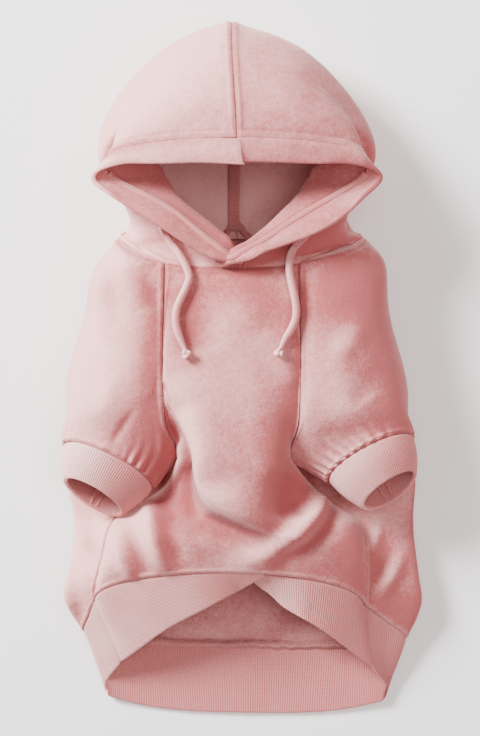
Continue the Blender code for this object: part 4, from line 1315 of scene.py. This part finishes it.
# %% Shape the hood
HOOD_LENGTH = 0.145
HOOD_HALF_WIDTH = 0.095
HOOD_RISE = 0.093
HOOD_BAND = 0.003
HOOD_LAP = 0.12
LAP_EASE = 2.6
LAP_HEIGHT = {LEFT: -0.0012, RIGHT: 0.0032}
SEAM_LEAN = 0.0034
TIP_LIFT = np.array((0, 0.0030, 0.0012))
RIGHT_TIP = {
    # place: shifts of the fold, the band's seam and the rim, right, up the body and up
    0.8: ((0, 0, 0), (0, -0.0025, 0), (0, -0.0045, 0)),
    0.9: ((-0.004, -0.007, 0.001), (-0.003, -0.002, 0.001), (0, 0.002, 0)),
    0.95: ((-0.007, -0.006, 0.002), (-0.006, -0.002, 0.002), (0, 0.0024, 0.001)),
}
HOOD_PLACES = (0, 0.2, 0.4, 0.6, 0.8, 0.9, 0.95)
HOOD_ROWS = (
    # back low
    (0.154, (0, 0.345, 0.0108), (0.316, 0.338, 0.0108), (0.547, 0.255, 0.0108),
     (0.674, 0.152, 0.0323), (0.737, 0.0552, 0.129), (0.8, 0.0138, 0.237), (0.821, 0, 0.323)),
    # back high
    (0.308, (0, 0.738, 0.0108), (0.379, 0.697, 0.0108), (0.663, 0.503, 0.0108),
     (0.8, 0.31, 0.0538), (0.737, 0.103, 0.151), (0.789, 0.0207, 0.301),
     (0.811, -0.0138, 0.387)),
    # equator
    (0.462, (0, 0.993, 0.409), (0.484, 0.869, 0.387), (0.842, 0.628, 0.366),
     (0.947, 0.393, 0.344), (0.758, 0.131, 0.366), (0.747, 0.0276, 0.43),
     (0.747, -0.0207, 0.495)),
    # crown
    (0.615, (0, 0.8, 0.806), (0.453, 0.738, 0.731), (0.80, 0.538, 0.656),
     (0.937, 0.345, 0.559), (0.726, 0.0897, 0.559), (0.632, 0, 0.581), (0.611, -0.0552, 0.57)),
    # fold
    (0.769, (0, 0.552, 0.989), (0.474, 0.531, 0.925), (0.845, 0.448, 0.742),
     (0.568, 0.297, 0.538), (0.358, 0.124, 0.667), (0.126, 0.0069, 0.731),
     (0.0421, -0.0414, 0.742)),
    # seam of the band
    (0.846, (0, 0.428, 1.01), (0.463, 0.417, 0.946), (0.87, 0.372, 0.806),
     (0.87, 0.252, 0.645), (0.432, 0.0828, 0.785), (0.189, -0.0414, 0.796),
     (0.0947, -0.0828, 0.785)),
    # rim
    (1, (0, 0.324, 1), (0.463, 0.321, 0.946), (0.832, 0.314, 0.849),
     (0.989, 0.234, 0.731), (0.526, 0.0345, 0.86), (0.242, -0.0828, 0.839),
     (0.126, -0.117, 0.828)),
)
BACK_TURNS = 8
SLEEVE_TURNS = 12
HOOD_SPLIT = 7
ACROSS_TURNS = BACK_TURNS + HOOD_SPLIT
FRONT_TURNS = SLEEVE_TURNS - HOOD_SPLIT + 8


def neck_back(side, share):
    """The neck seam from the middle of the back to the top of the sleeve."""
    turn = share * ACROSS_TURNS
    rear = back(np.array([0.0]), side * np.minimum(turn / BACK_TURNS, 1))[0]
    arm = sleeve(side, 0.0, 1 - np.maximum(turn - BACK_TURNS, 0) / SLEEVE_TURNS)[0]
    return np.where((turn <= BACK_TURNS)[:, None], rear, arm)


def neck_front(side, share):
    """The neck seam from the top of the sleeve to just past the middle of the chest."""
    turn = share * FRONT_TURNS
    on_arm = SLEEVE_TURNS - HOOD_SPLIT
    arm = sleeve(side, 0.0, np.maximum(on_arm - turn, 0) / SLEEVE_TURNS)[0]
    left = 1 - np.maximum(turn - on_arm, 0) / (FRONT_TURNS - on_arm)
    across = 1 - (1 + HOOD_LAP) * (1 - left ** LAP_EASE)
    front = chest(np.array([0.0]), side * across)[0]
    points = np.where((turn <= on_arm)[:, None], arm, front)
    return points + TIP_LIFT * smooth((share - 0.75) / 0.2)[:, None]


def hood(side, down, across):
    """One half of the hood: rows from the neck to the rim by places from the middle seam."""
    rows_at = np.array([0] + [row[0] for row in HOOD_ROWS])
    places = np.array(HOOD_PLACES + (1,))
    net = np.zeros((len(rows_at), len(places), 3))
    net[0] = neck_back(side, places)
    for i, row in enumerate(HOOD_ROWS, 1):
        out, along, up = np.array(row[1:]).T
        net[i, :-1, 0] = out * HOOD_HALF_WIDTH * side
        net[i, :-1, 1] = NECK_Y + along * HOOD_LENGTH
        net[i, :-1, 2] = up * HOOD_RISE
    if side == RIGHT:
        for place, shifts in RIGHT_TIP.items():
            net[-3:, HOOD_PLACES.index(place)] += np.array(shifts)
    net[:, -1] = neck_front(side, rows_at)
    grid = through(rows_at, net, down)
    grid = through(places, grid.transpose(1, 0, 2), across).transpose(1, 0, 2)
    first = through(rows_at, net, 0.0)
    first = through(places, first.transpose(1, 0, 2), across).transpose(1, 0, 2)
    fade = np.clip(1 - down * FRONT_TURNS / 2, 0, 1)[:, None, None]
    grid = grid + (neck_back(side, across) - first) * fade
    last = through(rows_at, net, down)[:, -1:]
    fade = np.clip(1 - (1 - across) * ACROSS_TURNS / 2, 0, 1)[None, :, None]
    grid = grid + (neck_front(side, down)[:, None] - last) * fade
    grid[:, across == 0, 0] = 0
    grid[..., 0] -= SEAM_LEAN * smooth((grid[..., 1] - 0.145) / 0.08)
    lap = smooth((down - 0.5) / 0.5)[:, None] * smooth((across - 0.7) / 0.3)[None]
    grid[..., 2] += LAP_HEIGHT[side] * lap
    grid[..., 2] = np.maximum(grid[..., 2], 0)
    return grid


BAND_START = 0.846
BAND_ROW = 80
HOOD_DOWN = np.append(BAND_START * crowd(BAND_ROW), BAND_START + (1 - BAND_START) * crowd(16)[1:])
HOOD_ACROSS = crowd(110)
HOOD_FOLDS = {LEFT: (), RIGHT: ()}
TOPSTITCH = 0.0048
INSIDE_TOP = 0.055
SNAP_REACH = 0.004
CORNER_REACH = 0.012
CASING_FADE = 0.014
CASING_STEP = np.array((0.0045, -0.0018, 0.0014))


def nearest(points, line):
    """The places on a line of points that are nearest to other points."""
    run = np.diff(line, axis=0)
    offset = points[:, None] - line[None, :-1]
    share = np.clip((offset * run).sum(-1) / np.maximum((run * run).sum(-1), 1e-18), 0, 1)
    places = line[None, :-1] + share[..., None] * run
    best = np.linalg.norm(points[:, None] - places, axis=-1).argmin(1)
    return places[np.arange(len(points)), best]


def joined(grid, line, first_row=True):
    """Draw a hood piece's neck edges onto the body's, fading over a short way."""
    from_top, _, _, from_last = across_and_down(grid)
    near_last = np.exp(-(from_last / SNAP_REACH) ** 2)[..., None]
    last = (nearest(grid[:, -1], line) - grid[:, -1])[:, None]
    if not first_row:
        return grid + last * near_last
    near_top = np.exp(-(from_top / SNAP_REACH) ** 2)[..., None]
    top = (nearest(grid[0], line) - grid[0])[None]
    return grid + top * near_top + last * near_last * (1 - near_top)


hood_faces = {}
casing_faces = {}
for side, word in WORDS.items():
    base = lean(hood(side, HOOD_DOWN, HOOD_ACROSS))
    neck_line = np.vstack([back_grid[0][::side], sleeves[side][0][0, ::-1], chest_grid[0][::-side]])
    top, band = base[:BAND_ROW + 1], base[BAND_ROW:].copy()
    casing_end = 0.2 if side == LEFT else 1
    if side == LEFT:
        near = np.exp(-(across_and_down(band)[2] / CASING_FADE) ** 2)[..., None]
        band += near * CASING_STEP * np.linspace(0.4, 1, len(band))[:, None, None]
    grid, normals, marks = dressed(top, side, HOOD_FOLDS[side], (0.3, 0.3, 1, 0.3), 41 + side)
    # Painted light and shade on the hood's inside where it faces up: high parts such as the lips are painted
    # deeper, low parts deep inside paler.
    depth = smooth((INSIDE_TOP - top[..., 2]) / INSIDE_TOP * 1.8) * 1.0 - 0.38
    marks["brushed"] = marks["brushed"] + depth * smooth(-2 * normals[..., 2])
    stitched = bell(across_and_down(top)[1], TOPSTITCH, 0.0008)
    grid = grid - normals * (0.0005 * stitched)[..., None]
    # The dip of the topstitch gets painted shade.
    marks["groove"] = np.maximum(marks["groove"], 0.55 * stitched)
    grid = joined(grid, neck_line)
    away = np.linalg.norm(grid - grid[0, -1], axis=-1)
    near = np.exp(-(away / CORNER_REACH) ** 2)[..., None]
    normals = unit(normals * (1 - near) + normals[20, -21] * near)
    hood_faces[side] = (grid, normals)
    add_velour(f"hood_cloth_{word}", f"hood_{word}", grid, normals, marks, side)
    grid, normals, marks = dressed(band, side, (), (0.3, 0, casing_end, 0.3), 51 + side, 0.0004)
    grid = joined(grid, neck_line + TIP_LIFT, False)
    casing_faces[side] = (grid, normals)
    piece = cloth(f"hood_casing_{word}", grid, normals, HOOD_BAND, [VELOUR, VELOUR_FACING_SHADED], side,
                  False, (0.2, 1.0), marks)
    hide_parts(f"hood_band_{word}")
print("hood built")

# %% [markdown]
# Overlocked seams
#
# Where the cloth's wrong side shows, so do the seams: their raw edges are bound together by
# thread that runs over them in a tight zigzag. A strip with a rounded section, ridges across it
# and a slightly ragged edge stands for that. It is laid on the inside of the hood, the hem and
# the cuffs. The section's height is the square root of 1 - s^2 over its width.

# %% Lay the overlocked seams
STRIP_STEP = 0.00035
STITCH_PITCH = 0.0017


def strip(name, path, up, width, height, ragged=0.0, seed=3):
    """A raised, stitched strip along a path."""
    path = np.asarray(path, float)
    run = np.append(0, np.cumsum(np.linalg.norm(np.diff(path, axis=0), axis=-1)))
    at = np.linspace(0, run[-1], max(8, round(run[-1] / STRIP_STEP)))
    path = through(run, path, at)
    up = unit(through(run, np.broadcast_to(up, (len(run), 3)), at))
    side = unit(np.cross(unit(np.gradient(path, axis=0)), up))
    share = np.linspace(-1, 1, 9)[:, None]
    stitch = np.abs(np.sin(np.pi * at / STITCH_PITCH + 0.8 * share))
    rough = ragged * billow(path * 1.0, 0.005, seed)
    half = width / 2 * (0.88 + 0.12 * stitch) * share + rough
    rise = height * np.sqrt(np.maximum(1 - share ** 2, 0)) * (0.65 + 0.35 * stitch)
    grid = path + side * half[..., None] + up * rise[..., None]
    normals = np.broadcast_to(up, grid.shape)
    # Painted shade between the stitches.
    marks = {"groove": 0.9 * (1 - stitch)}
    piece = cloth(name, grid, normals, 0.0008, [THREAD], 1, False, (0.5, 0.5), marks)
    seams.append(piece)
    return piece


seams = []
left_hood, left_normals = hood_faces[LEFT]
rows = slice(8, 70)
spine = left_hood[rows, 0] - left_normals[rows, 0] * (CLOTH + 0.0003)
spine[:, 0] -= 0.0022
inward = -left_normals[rows, 0] * np.array((0, 1, 1))
strip("overlock_hood_back", spine, inward, 0.0075, 0.0012)
for side, word in WORDS.items():
    grid, normals = casing_faces[side]
    columns = slice(58, 103)
    path = grid[0, columns] - normals[0, columns] * (HOOD_BAND + 0.0001)
    strip(f"overlock_casing_{word}", path, -normals[0, columns], 0.0042, 0.0009)
columns = np.abs(BACK_ACROSS) < 0.5
path = back_grid[-1, columns] + np.array((0, 0.0015, CLOTH + 0.0004))
strip("overlock_hem_back", path, (0, 0, 1.0), 0.0050, 0.0016, 0.0009)
ARCH = ((-0.0240, 0.0810, 0.0060), (-0.0150, 0.0850, 0.0055), (-0.0085, 0.0905, 0.0050),
        (-0.0045, 0.0955, 0.0050), (-0.0020, 0.0975, 0.0050), (0.0010, 0.0970, 0.0050),
        (0.0050, 0.0920, 0.0050), (0.0110, 0.0870, 0.0055), (0.0190, 0.0830, 0.0060))
strip("overlock_neck_back", ARCH, (0, 0, 1.0), 0.0045, 0.0014)
for side, word in WORDS.items():
    grid, normals = cuff_faces[side]
    for i, turn in enumerate((0.73, 0.77)):
        column = round(turn * (grid.shape[1] - 1))
        path = grid[2:-1, column] - normals[2:-1, column] * (RIB + 0.0001)
        strip(f"overlock_cuff_{word}_{i + 1}", path, -normals[2:-1, column], 0.0020, 0.0010)
print("overlocked seams:", len(seams))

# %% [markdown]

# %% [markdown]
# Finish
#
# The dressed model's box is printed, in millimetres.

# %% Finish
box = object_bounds()
for word, low, high in zip("xyz", *box):
    print(word, round(low * 1000, 1), round(high * 1000, 1), "mm")
